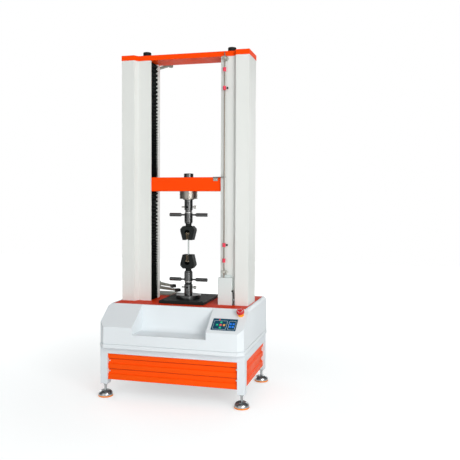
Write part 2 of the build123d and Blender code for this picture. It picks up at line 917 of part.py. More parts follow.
def hood_block(inset, bottom):
    """The hood's outer form moved inwards by a wall, from a given height up."""
    side = half_base - hood_side_inset - inset
    front = hood_front + inset
    rear = hood_rear - inset
    corner = hood_corner - inset * tan(radians(45) / 2)
    crown = table_top - inset
    ramp = inset * tan(radians(slope_angle) / 2)
    bevel = hood_top_edge - inset * tan(radians(45) / 2)
    with BuildPart() as block:
        with BuildSketch(Plane.XY.offset(bottom)):
            with BuildLine():
                Polyline(
                    (-side, front + corner),
                    (-side + corner, front),
                    (side - corner, front),
                    (side, front + corner),
                    (side, rear),
                    (-side, rear),
                    close=True,
                )
            make_face()
        extrude(amount=crown - bottom)
        with BuildSketch(Plane.YZ):
            with BuildLine():
                Polyline(
                    (front, bottom),
                    (front, slope_start_height - ramp),
                    (slope_top_y + ramp, crown),
                    (rear, crown),
                    (rear, bottom),
                    close=True,
                )
            make_face()
        extrude(amount=side, both=True, mode=Mode.INTERSECT)
        with BuildSketch(Plane.XZ):
            with BuildLine():
                Polyline(
                    (-side, bottom),
                    (-side, crown - bevel),
                    (-side + bevel, crown),
                    (side - bevel, crown),
                    (side, crown - bevel),
                    (side, bottom),
                    close=True,
                )
            make_face()
        extrude(amount=base_depth, both=True, mode=Mode.INTERSECT)
    return block


def tray_block(grow):
    """The space of the tray, grown by a wall, open to the front and the top."""
    half = tray_width / 2 + grow
    back = tray_back + grow
    floor = tray_floor - grow
    with BuildPart() as block:
        with BuildSketch(Plane.YZ):
            with BuildLine():
                crown = table_top + overrun
                Polyline((-base_depth, floor), (back, floor), (back, crown), (-base_depth, crown), close=True)
            make_face()
        extrude(amount=half, both=True)
        bend = block.edges().filter_by(Axis.X).group_by(Axis.Z)[0].sort_by(Axis.Y)[-1]
        fillet(bend, radius=tray_bend - grow)
    return block


hood_core = hood_block(hood_wall, beam_top_height + hood_wall)
tray_core = tray_block(hood_wall)
tray_space = tray_block(0)
hood_outer = hood_block(0, beam_top_height)
hood_flange_inset_x = 47.0
hood_flange_inset_y = 75.0
hood_flange_x = half_base - hood_flange_inset_x
hood_flange_y = base_depth / 2 - hood_flange_inset_y

with BuildPart() as hollow:
    add(hood_core.part)
    add(tray_core.part, mode=Mode.SUBTRACT)

with BuildPart() as base_cover:
    add(hood_outer.part)
    with BuildSketch(Plane.XY.offset(beam_top_height)):
        with BuildLine():
            rim = half_base - hood_side_inset + lip_proud
            rim_front = hood_front - lip_proud
            rim_rear = hood_rear + lip_proud
            Polyline(
                (-rim, rim_front + hood_corner),
                (-rim + hood_corner, rim_front),
                (rim - hood_corner, rim_front),
                (rim, rim_front + hood_corner),
                (rim, rim_rear),
                (-rim, rim_rear),
                close=True,
            )
        make_face()
    extrude(amount=lip_height)
    with BuildSketch(Plane.XY.offset(beam_top_height + lip_height)):
        Rectangle(base_width + base_depth, base_depth + base_width)
        with BuildLine():
            shrunk = half_base - hood_side_inset - lip_groove
            shrunk_front = hood_front + lip_groove
            shrunk_rear = hood_rear - lip_groove
            Polyline(
                (-shrunk, shrunk_front + hood_corner),
                (-shrunk + hood_corner, shrunk_front),
                (shrunk - hood_corner, shrunk_front),
                (shrunk, shrunk_front + hood_corner),
                (shrunk, shrunk_rear),
                (-shrunk, shrunk_rear),
                close=True,
            )
        make_face(mode=Mode.SUBTRACT)
    extrude(amount=lip_groove, mode=Mode.SUBTRACT)
    add(tray_space.part, mode=Mode.SUBTRACT)
    add(hollow.part, mode=Mode.SUBTRACT)
    with BuildSketch(Plane.XY.offset(table_under)):
        with Locations((0, (table_front + table_rear) / 2)):
            Rectangle(table_width + 2 * side_gap, table_rear - table_front + 2 * side_gap)
    extrude(amount=table_thickness + overrun, mode=Mode.SUBTRACT)
    with BuildSketch(Plane.XY.offset(beam_top_height - overrun)):
        Rectangle(2 * hood_flange_x, 2 * hood_flange_y)
        with Locations((0, post_mid)):
            with GridLocations(2 * post_x, post_rear - post_front, 2, 2):
                Rectangle(post_side + 2 * side_gap, post_side + 2 * side_gap)
    extrude(amount=hood_wall + 2 * overrun, mode=Mode.SUBTRACT)
base_cover.part.label = "base_cover"
export_step(base_cover.part, "parts/base_cover.step")

# Formed panels between the legs: sheet bent into three proud bands and two grooves
panel_sheet = 2.0
panel_inset = 8.0
groove_depth = 8.0
groove_flank = 4.0
groove_low_start = 124.0
groove_low_end = 150.5
groove_high_start = 178.0
groove_high_end = 205.0


def panel_profile(depth_at):
    """The bent line of a panel as pairs of distance from the face and height, front skin then back skin."""
    steps = [
        (0, panel_bottom),
        (0, groove_low_start - groove_flank / 2),
        (groove_depth, groove_low_start + groove_flank / 2),
        (groove_depth, groove_low_end - groove_flank / 2),
        (0, groove_low_end + groove_flank / 2),
        (0, groove_high_start - groove_flank / 2),
        (groove_depth, groove_high_start + groove_flank / 2),
        (groove_depth, groove_high_end - groove_flank / 2),
        (0, groove_high_end + groove_flank / 2),
        (0, beam_bottom),
    ]
    skin = [(depth_at(d), z) for d, z in steps]
    back = [(depth_at(d + panel_sheet), z) for d, z in steps]
    return skin + back[::-1]


panel_front = stand_front + panel_inset
panel_rear = stand_rear - panel_inset
panel_side = half_base - panel_inset
long_half = half_base - leg_side - side_gap
short_half = stand_depth / 2 - leg_side - side_gap

with BuildPart() as front_panel:
    with BuildSketch(Plane.YZ):
        with BuildLine():
            Polyline(*panel_profile(lambda d: panel_front + d), close=True)
        make_face()
    extrude(amount=long_half, both=True)
front_panel.part.label = "front_panel"
export_step(front_panel.part, "parts/front_panel.step")

with BuildPart() as base_panels:
    with BuildSketch(Plane.YZ):
        with BuildLine():
            Polyline(*panel_profile(lambda d: panel_rear - d), close=True)
        make_face()
    extrude(amount=long_half, both=True)
    with BuildSketch(Plane.XZ.offset(-stand_mid)):
        with BuildLine():
            Polyline(*panel_profile(lambda d: panel_side - d), close=True)
        make_face()
        with BuildLine():
            Polyline(*panel_profile(lambda d: d - panel_side), close=True)
        make_face()
    extrude(amount=short_half, both=True)
base_panels.part.label = "base_panels"
export_step(base_panels.part, "parts/base_panels.step")

# Levelling feet: a rubber pad, a chromed domed cup on its stud, and a jam nut under the leg
pad_diameter = 80.0
pad_height = 8.0
pad_edge = 3.0
cup_diameter = 77.0
cup_height = 26.0
cup_shoulder = 22.0
nut_size = 22.0
nut_height = 8.0


def foot(x, y):
    """One levelling foot with its pad and nut."""
    pad = pad_diameter / 2
    cup = cup_diameter / 2
    stud = stud_diameter / 2
    stud_end = leg_foot_height + stud_depth - face_gap
    with BuildPart() as leveller:
        with BuildSketch(Plane.XZ.offset(-y)):
            with BuildLine():
                Polyline(
                    (x, 0),
                    (x + pad - pad_edge, 0),
                    (x + pad, pad_edge),
                    (x + pad, pad_height - pad_edge / 2),
                    (x + pad - pad_edge / 2, pad_height),
                    (x, pad_height),
                    close=True,
                )
            make_face()
        revolve(axis=axis_at(x, y))
        with BuildSketch(Plane.XZ.offset(-y)):
            with BuildLine():
                Line((x, pad_height), (x + cup, pad_height))
                Line((x + cup, pad_height), (x + cup, pad_height + pad_edge / 2))
                TangentArc(
                    (x + cup, pad_height + pad_edge / 2),
                    (x + cup_shoulder / 2, pad_height + cup_height),
                    tangent=(0, 1),
                )
                Line((x + cup_shoulder / 2, pad_height + cup_height), (x + stud, pad_height + cup_height))
                Line((x + stud, pad_height + cup_height), (x + stud, stud_end))
                Line((x + stud, stud_end), (x, stud_end))
                Line((x, stud_end), (x, pad_height))
            make_face()
        revolve(axis=axis_at(x, y))
        with BuildSketch(Plane.XY.offset(leg_foot_height - nut_height)):
            with Locations((x, y)):
                RegularPolygon(nut_size / 2, 6, major_radius=False)
                Circle(stud + running_gap, mode=Mode.SUBTRACT)
        extrude(amount=nut_height)
    return leveller


with BuildPart() as feet:
    foot_x = (base_width - leg_side) / 2
    foot_y = (stand_depth - leg_side) / 2
    for side_x in (-1, 1):
        for side_y in (-1, 1):
            add(foot(side_x * foot_x, stand_mid + side_y * foot_y).part)
feet.part.label = "feet"
export_step(feet.part, "parts/feet.step")

# Drive: a motor hung under the table, one toothed belt round its pulley and both screw pulleys
motor_side = 110.0
motor_clearance = 14.0
motor_face = 6.0
motor_inset = 143.0
motor_y = table_rear - motor_inset
motor_shaft = 19.0
motor_pulley_diameter = 60.0
belt_thickness = 4.0
belt_height = 20.0
motor_edge = 6.0
motor_bottom = pulley_bottom + pulley_height + motor_clearance
motor_height = table_under - motor_bottom

with BuildPart() as motor:
    with BuildSketch(Plane.XY.offset(motor_bottom)):
        with Locations((0, motor_y)):
            Rectangle(motor_side, motor_side)
    extrude(amount=motor_height)
    chamfer(motor.edges().filter_by(Axis.Z), length=motor_edge)
    with BuildSketch(Plane.XY.offset(motor_bottom)):
        with Locations((0, motor_y)):
            Circle(motor_shaft / 2 + running_gap)
    extrude(amount=motor_height - motor_face, mode=Mode.SUBTRACT)
motor.part.label = "motor"
export_step(motor.part, "parts/motor.step")

with BuildPart() as motor_pulley:
    with BuildSketch(Plane.XY.offset(pulley_bottom)):
        with Locations((0, motor_y)):
            Circle(motor_pulley_diameter / 2 + pulley_flange)
    extrude(amount=pulley_height)
    with BuildSketch(Plane.XY.offset(pulley_bottom + pulley_flange)):
        with Locations((0, motor_y)):
            Circle(motor_pulley_diameter)
            Circle(motor_pulley_diameter / 2, mode=Mode.SUBTRACT)
    extrude(amount=pulley_height - 2 * pulley_flange, mode=Mode.SUBTRACT)
    with BuildSketch(Plane.XY.offset(pulley_bottom)):
        with Locations((0, motor_y)):
            Circle(motor_shaft / 2)
    extrude(amount=table_under - motor_face - face_gap - pulley_bottom)
motor_pulley.part.label = "motor_pulley"
export_step(motor_pulley.part, "parts/motor_pulley.step")


def belt_path(gap):
    """The closed line round the three pulleys, a distance outside their rims."""
    screw_rim = screw_pulley_diameter / 2 + gap
    CenterArc((-screw_x, load_y), screw_rim, 0, 360)
    CenterArc((screw_x, load_y), screw_rim, 0, 360)
    CenterArc((0, motor_y), motor_pulley_diameter / 2 + gap, 0, 360)


with BuildPart() as drive_belt:
    belt_bottom = pulley_bottom + (pulley_height - belt_height) / 2
    with BuildSketch(Plane.XY.offset(belt_bottom)):
        with BuildLine():
            belt_path(face_gap + belt_thickness)
        make_hull()
    extrude(amount=belt_height)
    with BuildSketch(Plane.XY.offset(belt_bottom)):
        with BuildLine():
            belt_path(face_gap)
        make_hull()
    extrude(amount=belt_height, mode=Mode.SUBTRACT)
drive_belt.part.label = "drive_belt"
export_step(drive_belt.part, "parts/drive_belt.step")

# Limit stop: a rod beside the right column, two adjustable collars, their box and the crosshead's finger
rod_offset = 24.5
rod_reach = 78.0
rod_diameter = 7.0
rod_top_margin = 9.0
rod_entry = 16.0
rod_travel = 8.0
ring_diameter = 17.0
ring_height = 21.0
upper_ring_drop = 73.0
lower_ring_rise = 92.0
upper_stop_drop = 98.0
lower_stop_rise = 83.0
stop_knob_diameter = 10.0
stop_knob_length = 8.0
stop_knob_start = 12.0
stop_screw = 4.0
stop_knob_edge = 1.0
limit_box_overlap = 7.0
limit_box_width = 78.0
limit_box_height = 146.0
limit_box_edge = 1.5
bracket_width = 24.0
bracket_sheet = 3.0
bracket_height = 20.0
bracket_lip = 9.0
top_bracket_drop = 7.0
foot_bracket_rise = 35.0
finger_sink = 3.0
finger_thickness = 4.0
finger_tab_inset = 19.0
finger_tab_width = 25.0
finger_tab_height = 18.0
finger_width = 9.0
finger_eye = 16.0
rod_x = half_test + rod_offset
rod_y = load_y - rod_reach
box_top = table_top + limit_box_height
rod_top = column_top + rod_top_margin
upper_end_ring = column_top - upper_ring_drop
lower_end_ring = box_top + lower_ring_rise
upper_stop_height = upper_end_ring - upper_stop_drop
lower_stop_height = lower_end_ring + lower_stop_rise
limit_box_left = half_test - limit_box_overlap
limit_box_right = limit_box_left + limit_box_width
top_bracket_height = column_top - top_bracket_drop
foot_bracket_height = box_top + foot_bracket_rise
finger_bottom = crosshead_top - finger_sink
finger_tab_right = half_test - finger_tab_inset
finger_tab_left = finger_tab_right - finger_tab_width
rod_hole = rod_diameter / 2 + face_gap

with BuildPart() as limit_box:
    with BuildSketch(Plane.XY.offset(table_top)):
        with Locations(((limit_box_left + limit_box_right) / 2, (front_y + recess_y) / 2)):
            Rectangle(limit_box_right - limit_box_left, recess_y - front_y)
    extrude(amount=limit_box_height)
    chamfer(limit_box.edges().filter_by(Axis.Z).sort_by(Axis.Y)[:2], length=limit_box_edge)
    with BuildSketch(Plane.XY.offset(box_top)):
        with Locations((rod_x, rod_y)):
            Circle(rod_hole)
    extrude(amount=-(rod_entry + rod_travel + overrun), mode=Mode.SUBTRACT)
limit_box.part.label = "limit_box"
export_step(limit_box.part, "parts/limit_box.step")

with BuildPart() as limit_rod:
    with BuildSketch(Plane.XY.offset(box_top - rod_entry)):
        with Locations((rod_x, rod_y)):
            Circle(rod_diameter / 2)
    extrude(amount=rod_top - box_top + rod_entry)
    for height in (upper_end_ring, lower_end_ring):
        with BuildSketch(Plane.XY.offset(height - ring_height / 2)):
            with Locations((rod_x, rod_y)):
                Circle(ring_diameter / 2)
        extrude(amount=ring_height)
limit_rod.part.label = "limit_rod"
export_step(limit_rod.part, "parts/limit_rod.step")


def stop_collar(height):
    """An adjustable collar with the thumb screw that clamps it on the rod."""
    bore = rod_diameter / 2 + fit_gap
    with BuildPart() as collar:
        with BuildSketch(Plane.XY.offset(height - ring_height / 2)):
            with Locations((rod_x, rod_y)):
                Circle(ring_diameter / 2)
                Circle(bore, mode=Mode.SUBTRACT)
        extrude(amount=ring_height)
        with BuildSketch(Plane.YZ.offset(rod_x)):
            with Locations((rod_y, height)):
                Circle(stop_screw / 2 + running_gap)
        extrude(amount=ring_diameter, mode=Mode.SUBTRACT)
        with BuildSketch(Plane.XZ.offset(-rod_y)):
            with BuildLine():
                knob = stop_knob_diameter / 2
                knob_end = rod_x + stop_knob_start + stop_knob_length
                Polyline(
                    (rod_x + bore + fit_gap, height),
                    (rod_x + bore + fit_gap, height + stop_screw / 2),
                    (rod_x + stop_knob_start, height + stop_screw / 2),
                    (rod_x + stop_knob_start, height + knob),
                    (knob_end - stop_knob_edge, height + knob),
                    (knob_end, height + knob - stop_knob_edge),
                    (knob_end, height),
                    close=True,
                )
            make_face()
        revolve(axis=Axis((rod_x, rod_y, height), (1, 0, 0)))
    return collar


upper_stop_collar = stop_collar(upper_stop_height)
upper_stop_collar.part.label = "upper_stop_collar"
export_step(upper_stop_collar.part, "parts/upper_stop_collar.step")

lower_stop_collar = stop_collar(lower_stop_height)
lower_stop_collar.part.label = "lower_stop_collar"
export_step(lower_stop_collar.part, "parts/lower_stop_collar.step")

with BuildPart() as rod_brackets:
    for height in (top_bracket_height, foot_bracket_height):
        with BuildSketch(Plane.XY.offset(height)):
            with Locations((rod_x, (recess_y + rod_y - bracket_lip) / 2)):
                Rectangle(bracket_width, recess_y - rod_y + bracket_lip)
            with Locations((rod_x, rod_y)):
                Circle(rod_hole, mode=Mode.SUBTRACT)
        extrude(amount=bracket_sheet)
        with BuildSketch(Plane.XY.offset(height)):
            with Locations((rod_x, recess_y - bracket_sheet / 2)):
                Rectangle(bracket_width, bracket_sheet)
        extrude(amount=-bracket_height)
rod_brackets.part.label = "rod_brackets"
export_step(rod_brackets.part, "parts/rod_brackets.step")

with BuildPart() as trip_finger:
    beam_face = load_y - crosshead_depth / 2
    with BuildSketch(Plane.XY.offset(finger_bottom)):
        with BuildLine():
            Polyline(
                (finger_tab_left, beam_face),
                (finger_tab_right, beam_face),
                (half_test, rod_y + finger_width + finger_width / 2),
                (rod_x, rod_y + finger_width / 2),
                (rod_x, rod_y - finger_width / 2),
                (half_test - finger_width / 2, rod_y + finger_width / 2),
                (finger_tab_left, beam_face - finger_width),
                close=True,
            )
        make_face()
        with Locations((rod_x, rod_y)):
            Circle(finger_eye / 2)
            Circle(rod_hole + face_gap, mode=Mode.SUBTRACT)
    extrude(amount=finger_thickness)
    with BuildSketch(Plane.XY.offset(finger_bottom)):
        with Locations(((finger_tab_left + finger_tab_right) / 2, beam_face - bracket_sheet / 2)):
            Rectangle(finger_tab_right - finger_tab_left, bracket_sheet)
    extrude(amount=-finger_tab_height)
trip_finger.part.label = "trip_finger"
export_step(trip_finger.part, "parts/trip_finger.step")

# Lead of the limit box: out of its right side and down into the table beside it
lead_diameter = 5.0
lead_forward = 4.0
lead_y = rod_y - lead_forward
lead_exit = 80.0
lead_bury = 2.0
bend_share = 0.45
lead_outs = [-lead_bury, 8.0, 8.8, 10.6, 10.4, 7.0, 3.5]
lead_rises = [lead_exit, 67.0, 53.0, 37.0, 22.0, 10.0, -lead_bury]
lead_route = [(limit_box_right + out, lead_y, table_top + rise) for out, rise in zip(lead_outs, lead_rises)]


def bend_radii(route):
    """The largest arc at each corner that its two runs leave room for."""
    points = [Vector(*p) for p in route]
    radii = []
    for before, corner, after in zip(points, points[1:], points[2:]):
        turn = radians((corner - before).get_angle(after - corner))
        shorter = min((corner - before).length, (after - corner).length)
        radii.append(bend_share * shorter / tan(turn / 2))
    return radii


with BuildPart() as limit_cable:
    with BuildLine() as lead_line:
        FilletPolyline(*lead_route, radius=bend_radii(lead_route))
    lead_wire = lead_line.wires()[0]
    with BuildSketch(Plane(origin=lead_wire @ 0, z_dir=lead_wire % 0)):
        Circle(lead_diameter / 2)
    sweep()
limit_cable.part.label = "limit_cable"
export_step(limit_cable.part, "parts/limit_cable.step")

# Control panel on the right half of the sloping console, with nine travelling keys
panel_width = 128.0
panel_height = 78.0
panel_thickness = 2.0
panel_inset_x = 110.0
panel_x = half_base - panel_inset_x
panel_along = 60.0
key_size = 11.0
key_proud = 1.0
key_travel = 0.7
key_corner = 2.0
key_hole = key_size + 2 * face_gap
panel_corner = 3.0
jog_x = -18.5
jog_along = -4.5
jog_pitch = 18.0
function_x = 40.0
function_along = -4.0
function_pitch_x = 15.0
function_pitch_along = 19.0

slope = Plane(
    origin=(panel_x, hood_front, slope_start_height),
    x_dir=(1, 0, 0),
    z_dir=(0, -sin(radians(slope_angle)), cos(radians(slope_angle))),
)
keys = {
    "jog_up_key": (jog_x, jog_along + jog_pitch),
    "jog_down_key": (jog_x, jog_along - jog_pitch),
    "start_key": (jog_x - jog_pitch, jog_along),
    "stop_key": (jog_x, jog_along),
    "return_key": (jog_x + jog_pitch, jog_along),
    "function_key_1": (function_x - function_pitch_x / 2, function_along + function_pitch_along / 2),
    "function_key_2": (function_x + function_pitch_x / 2, function_along + function_pitch_along / 2),
    "function_key_3": (function_x - function_pitch_x / 2, function_along - function_pitch_along / 2),
    "function_key_4": (function_x + function_pitch_x / 2, function_along - function_pitch_along / 2),
}

with BuildPart() as control_panel:
    with BuildSketch(slope):
        with Locations((0, panel_along)):
            RectangleRounded(panel_width, panel_height, panel_corner)
        for across, along in keys.values():
            with Locations((across, panel_along + along)):
                RectangleRounded(key_hole, key_hole, key_corner, mode=Mode.SUBTRACT)
    extrude(amount=panel_thickness)
control_panel.part.label = "control_panel"
export_step(control_panel.part, "parts/control_panel.step")

for key_name, (across, along) in keys.items():
    with BuildPart() as key:
        with BuildSketch(slope.offset(key_travel + fit_gap)):
            with Locations((across, panel_along + along)):
                RectangleRounded(key_size, key_size, key_corner)
        extrude(amount=panel_thickness + key_proud - key_travel - fit_gap)
    key.part.label = key_name
    export_step(key.part, f"parts/{key_name}.step")

# Emergency stop near the top right of the slope: a collar and a mushroom head that plunges into it
stop_inset = 39.0
stop_x = half_base - stop_inset
stop_along = 133.0
stop_base_diameter = 32.0
stop_base_height = 12.0
stop_base_edge = 2.0
stop_head_diameter = 40.0
stop_head_height = 14.0
stop_head_crown = 5.0
stop_travel = 5.0
stop_stem = 14.0
stop_stem_depth = 4.0
stop_origin = slope.origin + slope.x_dir * (stop_x - panel_x) + slope.y_dir * stop_along
stop_plane = Plane(stop_origin, slope.x_dir, slope.z_dir)
stop_axis = Axis(stop_plane.origin, stop_plane.z_dir)
stop_head_low = stop_base_height + stop_travel + face_gap

with BuildPart() as estop_base:
    with BuildSketch(stop_plane):
        Circle(stop_base_diameter / 2)
    extrude(amount=stop_base_height)
    base_top = estop_base.faces().filter_by(GeomType.PLANE).sort_by(stop_axis)[-1]
    chamfer(base_top.edges(), length=stop_base_edge)
    with BuildSketch(stop_plane.offset(stop_stem_depth)):
        Circle(stop_stem / 2 + fit_gap)
    extrude(amount=stop_base_height, mode=Mode.SUBTRACT)
estop_base.part.label = "estop_base"
export_step(estop_base.part, "parts/estop_base.step")

with BuildPart() as estop_head:
    stem_end = stop_stem_depth + stop_travel + face_gap
    with BuildSketch(stop_plane.offset(stop_head_low)):
        Circle(stop_head_diameter / 2)
    extrude(amount=stop_head_height)
    rims = estop_head.faces().filter_by(GeomType.PLANE).sort_by(stop_axis)
    fillet(rims[-1].edges(), radius=stop_head_crown)
    chamfer(rims[0].edges(), length=stop_base_edge)
    with BuildSketch(stop_plane.offset(stem_end)):
        Circle(stop_stem / 2)
    extrude(amount=stop_head_low - stem_end)
estop_head.part.label = "estop_head"
export_step(estop_head.part, "parts/estop_head.step")

# Extensometer: a mast behind the left column with two sliding arms that point at the specimen
mast_offset = 70.0
mast_reach = 212.0
mast_side = 20.0
mast_rise = 16.0
mast_foot_width = 140.0
mast_foot_depth = 116.0
mast_foot_height = 8.0
mast_foot_offset = 28.0
mast_foot_y = 205.0
top_arm_length = 152.0
top_arm_height = 10.0
top_arm_width = 20.0
top_arm_angle = -36.5
top_arm_end = 16.0
carriage_side = 38.0
carriage_height = 20.0
arm_width = 18.0
arm_root_height = 18.0
arm_tip_height = 10.0
arm_clip = 24.0
arm_clip_height = 18.0
arm_clip_slot = 6.0
arm_clip_web = 8.0
upper_arm_rise = 63.0
upper_arm_length = 186.0
upper_arm_angle = -36.0
lower_arm_rise = 38.0
lower_arm_length = 198.0
lower_arm_angle = -28.5
mast_x = -(half_test + mast_offset)
mast_y = load_y + mast_reach
mast_top = column_top + mast_rise
mast_foot_x = -(half_test + mast_foot_offset)
upper_arm_height = table_top + upper_arm_rise
lower_arm_height = table_top + lower_arm_rise


def arm_plane(angle, height):
    """A level plane at the mast with its first direction along an arm."""
    turn = radians(angle)
    return Plane(origin=(mast_x, mast_y, height), x_dir=(cos(turn), sin(turn), 0), z_dir=(0, 0, 1))


def arm_side_plane(angle, height):
    """An upright plane at the mast with its first direction along an arm."""
    turn = radians(angle)
    along = (cos(turn), sin(turn), 0)
    aside = (sin(turn), -cos(turn), 0)
    return Plane(origin=(mast_x, mast_y, height), x_dir=along, z_dir=aside)


with BuildPart() as extensometer_mast:
    with BuildSketch(Plane.XY.offset(table_top)):
        with Locations((mast_foot_x, load_y + mast_foot_y)):
            Rectangle(mast_foot_width, mast_foot_depth)
    extrude(amount=mast_foot_height)
    with BuildSketch(Plane.XY.offset(table_top)):
        with Locations((mast_x, mast_y)):
            Rectangle(mast_side, mast_side)
    extrude(amount=mast_top - table_top)
    with BuildSketch(arm_plane(top_arm_angle, mast_top - top_arm_height)):
        with Locations((top_arm_length / 2, 0)):
            Rectangle(top_arm_length, top_arm_width)
        with Locations((top_arm_length, 0)):
            Rectangle(top_arm_end, top_arm_end)
    extrude(amount=top_arm_height)
    with BuildSketch(arm_plane(top_arm_angle, mast_top - 2 * top_arm_height)):
        with Locations((top_arm_length, 0)):
            Rectangle(top_arm_end, top_arm_end)
    extrude(amount=top_arm_height)
extensometer_mast.part.label = "extensometer_mast"
export_step(extensometer_mast.part, "parts/extensometer_mast.step")


def extensometer_arm(angle, height, length):
    """A carriage round the mast with its arm and the clip at the arm's end."""
    with BuildPart() as arm:
        with BuildSketch(Plane.XY.offset(height - carriage_height / 2)):
            with Locations((mast_x, mast_y)):
                Rectangle(carriage_side, carriage_side)
        extrude(amount=carriage_height)
        with BuildSketch(arm_side_plane(angle, height)):
            with BuildLine():
                beam = length - arm_clip + arm_clip_web / 2
                root = arm_root_height / 2
                tip = arm_tip_height / 2
                Polyline((0, -root), (beam, -tip), (beam, tip), (0, root), close=True)
            make_face()
        extrude(amount=arm_width / 2, both=True)
        with BuildSketch(arm_plane(angle, height - arm_clip_height / 2)):
            with Locations((length - arm_clip / 2, 0)):
                Rectangle(arm_clip, arm_clip)
            with Locations((length - (arm_clip - arm_clip_web) / 2, 0)):
                Rectangle(arm_clip - arm_clip_web, arm_clip_slot, mode=Mode.SUBTRACT)
        extrude(amount=arm_clip_height)
        with BuildSketch(Plane.XY.offset(height - carriage_height / 2)):
            with Locations((mast_x, mast_y)):
                Rectangle(mast_side + 2 * face_gap, mast_side + 2 * face_gap)
        extrude(amount=carriage_height, mode=Mode.SUBTRACT)
    return arm


extensometer_upper_arm = extensometer_arm(upper_arm_angle, upper_arm_height, upper_arm_length)
extensometer_upper_arm.part.label = "extensometer_upper_arm"
export_step(extensometer_upper_arm.part, "parts/extensometer_upper_arm.step")

extensometer_lower_arm = extensometer_arm(lower_arm_angle, lower_arm_height, lower_arm_length)
extensometer_lower_arm.part.label = "extensometer_lower_arm"
export_step(extensometer_lower_arm.part, "parts/extensometer_lower_arm.step")
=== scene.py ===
import math
from collections import namedtuple

import bpy
from mathutils import Matrix, Vector


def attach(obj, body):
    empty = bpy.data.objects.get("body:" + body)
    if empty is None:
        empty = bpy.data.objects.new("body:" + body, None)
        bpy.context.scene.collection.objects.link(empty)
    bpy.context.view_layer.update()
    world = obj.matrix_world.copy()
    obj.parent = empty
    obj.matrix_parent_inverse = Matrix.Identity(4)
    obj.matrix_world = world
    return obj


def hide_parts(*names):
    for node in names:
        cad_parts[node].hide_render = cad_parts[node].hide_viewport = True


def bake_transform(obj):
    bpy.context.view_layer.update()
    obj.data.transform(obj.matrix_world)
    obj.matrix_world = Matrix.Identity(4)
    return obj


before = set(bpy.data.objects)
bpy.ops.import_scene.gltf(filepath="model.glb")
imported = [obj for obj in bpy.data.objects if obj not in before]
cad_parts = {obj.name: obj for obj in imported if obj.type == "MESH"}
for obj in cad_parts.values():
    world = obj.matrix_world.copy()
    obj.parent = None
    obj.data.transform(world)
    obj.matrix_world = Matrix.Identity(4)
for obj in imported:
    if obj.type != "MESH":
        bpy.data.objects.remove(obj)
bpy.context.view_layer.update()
bpy.ops.object.select_all(action="DESELECT")

# Places on the machine, in metres, as the solids have them
LOAD_Y = 0.027
TABLE_TOP = 0.482
PLATE_TOP = 0.498
COLUMN_TOP = 1.806
CROSSHEAD_LOW = 1.090
CROSSHEAD_HIGH = 1.166
UPPER_MOUTH = 0.821
LOWER_MOUTH = 0.740
MOUTH_TO_PIN = 0.182
MOUTH_TO_SPRING = 0.0392
ADAPTER_RADIUS = 0.0235
GRIPS = (("upper", UPPER_MOUTH, 1, "crosshead"), ("lower", LOWER_MOUTH, -1, "root"))
BOX_MIDDLE = 0.2345
BOX_TOP = 0.628
ROD = (0.2245, -0.051)
SLOPE_FOOT = (0.282, -0.298, 0.381)
SLOPE_RUN = 0.140
SLOPE_ANGLE = math.atan2(TABLE_TOP - SLOPE_FOOT[2], SLOPE_RUN)
MAST = (-0.270, 0.239)
ARM_ANGLES = {"upper": -36.0, "lower": -28.5}

# Spans of a node that have a finish of their own, along the axis that the finish names
# The panel's spans are the down-facing flanks of its folds, which get painted shade
PANEL_FOLDS = [(0.1465, 0.1525), (0.2005, 0.2070)]
FOOT_PAD = [(-0.01, 0.0081)]
LOWER_LOCK_RING = [(0.5873, 0.5919)]
UPPER_LOCK_RING = [(0.9691, 0.9737)]
ROD_RINGS = [(0.7094, 0.7306), (1.7224, 1.7436)]
COLLAR_BODY = [(0.21, 0.2335)]
UPPER_CLIP = [(-0.1970, -0.1680)]
LOWER_CLIP = [(-0.1775, -0.1480)]

# Finishes
Finish = namedtuple("Finish", "colour roughness metallic stretch")


def linear(red, green, blue):
    """A colour given as 0 to 255, as the shader wants it."""
    shares = [channel / 255 for channel in (red, green, blue)]
    return tuple(share / 12.92 if share <= 0.04 else ((share + 0.055) / 1.055) ** 2.4 for share in shares)


def finish_base(name, colour, roughness, metallic=0.0, gloss=0.5):
    """An empty finish with its shader, its coordinates and the tools that the others build on."""
    material = bpy.data.materials.new(name)
    material.use_nodes = True
    tree = material.node_tree
    shader = tree.nodes["Principled BSDF"]
    shader.inputs["Base Color"].default_value = (*colour, 1)
    shader.inputs["Roughness"].default_value = roughness
    shader.inputs["Metallic"].default_value = metallic
    shader.inputs["Specular IOR Level"].default_value = gloss
    place = tree.nodes.new("ShaderNodeTexCoord")
    return material, tree, shader, place.outputs["Object"]


def grain(tree, place, scale, detail=2.0, stretch=None):
    """Noise at a size that belongs to the real surface."""
    if stretch:
        mapping = tree.nodes.new("ShaderNodeMapping")
        mapping.inputs["Scale"].default_value = stretch
        tree.links.new(place, mapping.inputs["Vector"])
        place = mapping.outputs["Vector"]
    noise = tree.nodes.new("ShaderNodeTexNoise")
    noise.inputs["Scale"].default_value = scale
    noise.inputs["Detail"].default_value = detail
    tree.links.new(place, noise.inputs["Vector"])
    return noise.outputs["Fac"]


def spread(tree, value, low, high, from_low=0.3, from_high=0.7):
    """A value stretched to run between two limits."""
    span = tree.nodes.new("ShaderNodeMapRange")
    span.inputs["From Min"].default_value = from_low
    span.inputs["From Max"].default_value = from_high
    span.inputs["To Min"].default_value = low
    span.inputs["To Max"].default_value = high
    tree.links.new(value, span.inputs["Value"])
    return span.outputs["Result"]


def work_out(tree, operation, first, second):
    """Two values joined by a sum, a product or the like."""
    node = tree.nodes.new("ShaderNodeMath")
    node.operation = operation
    tree.links.new(first, node.inputs[0])
    tree.links.new(second, node.inputs[1])
    return node.outputs[0]


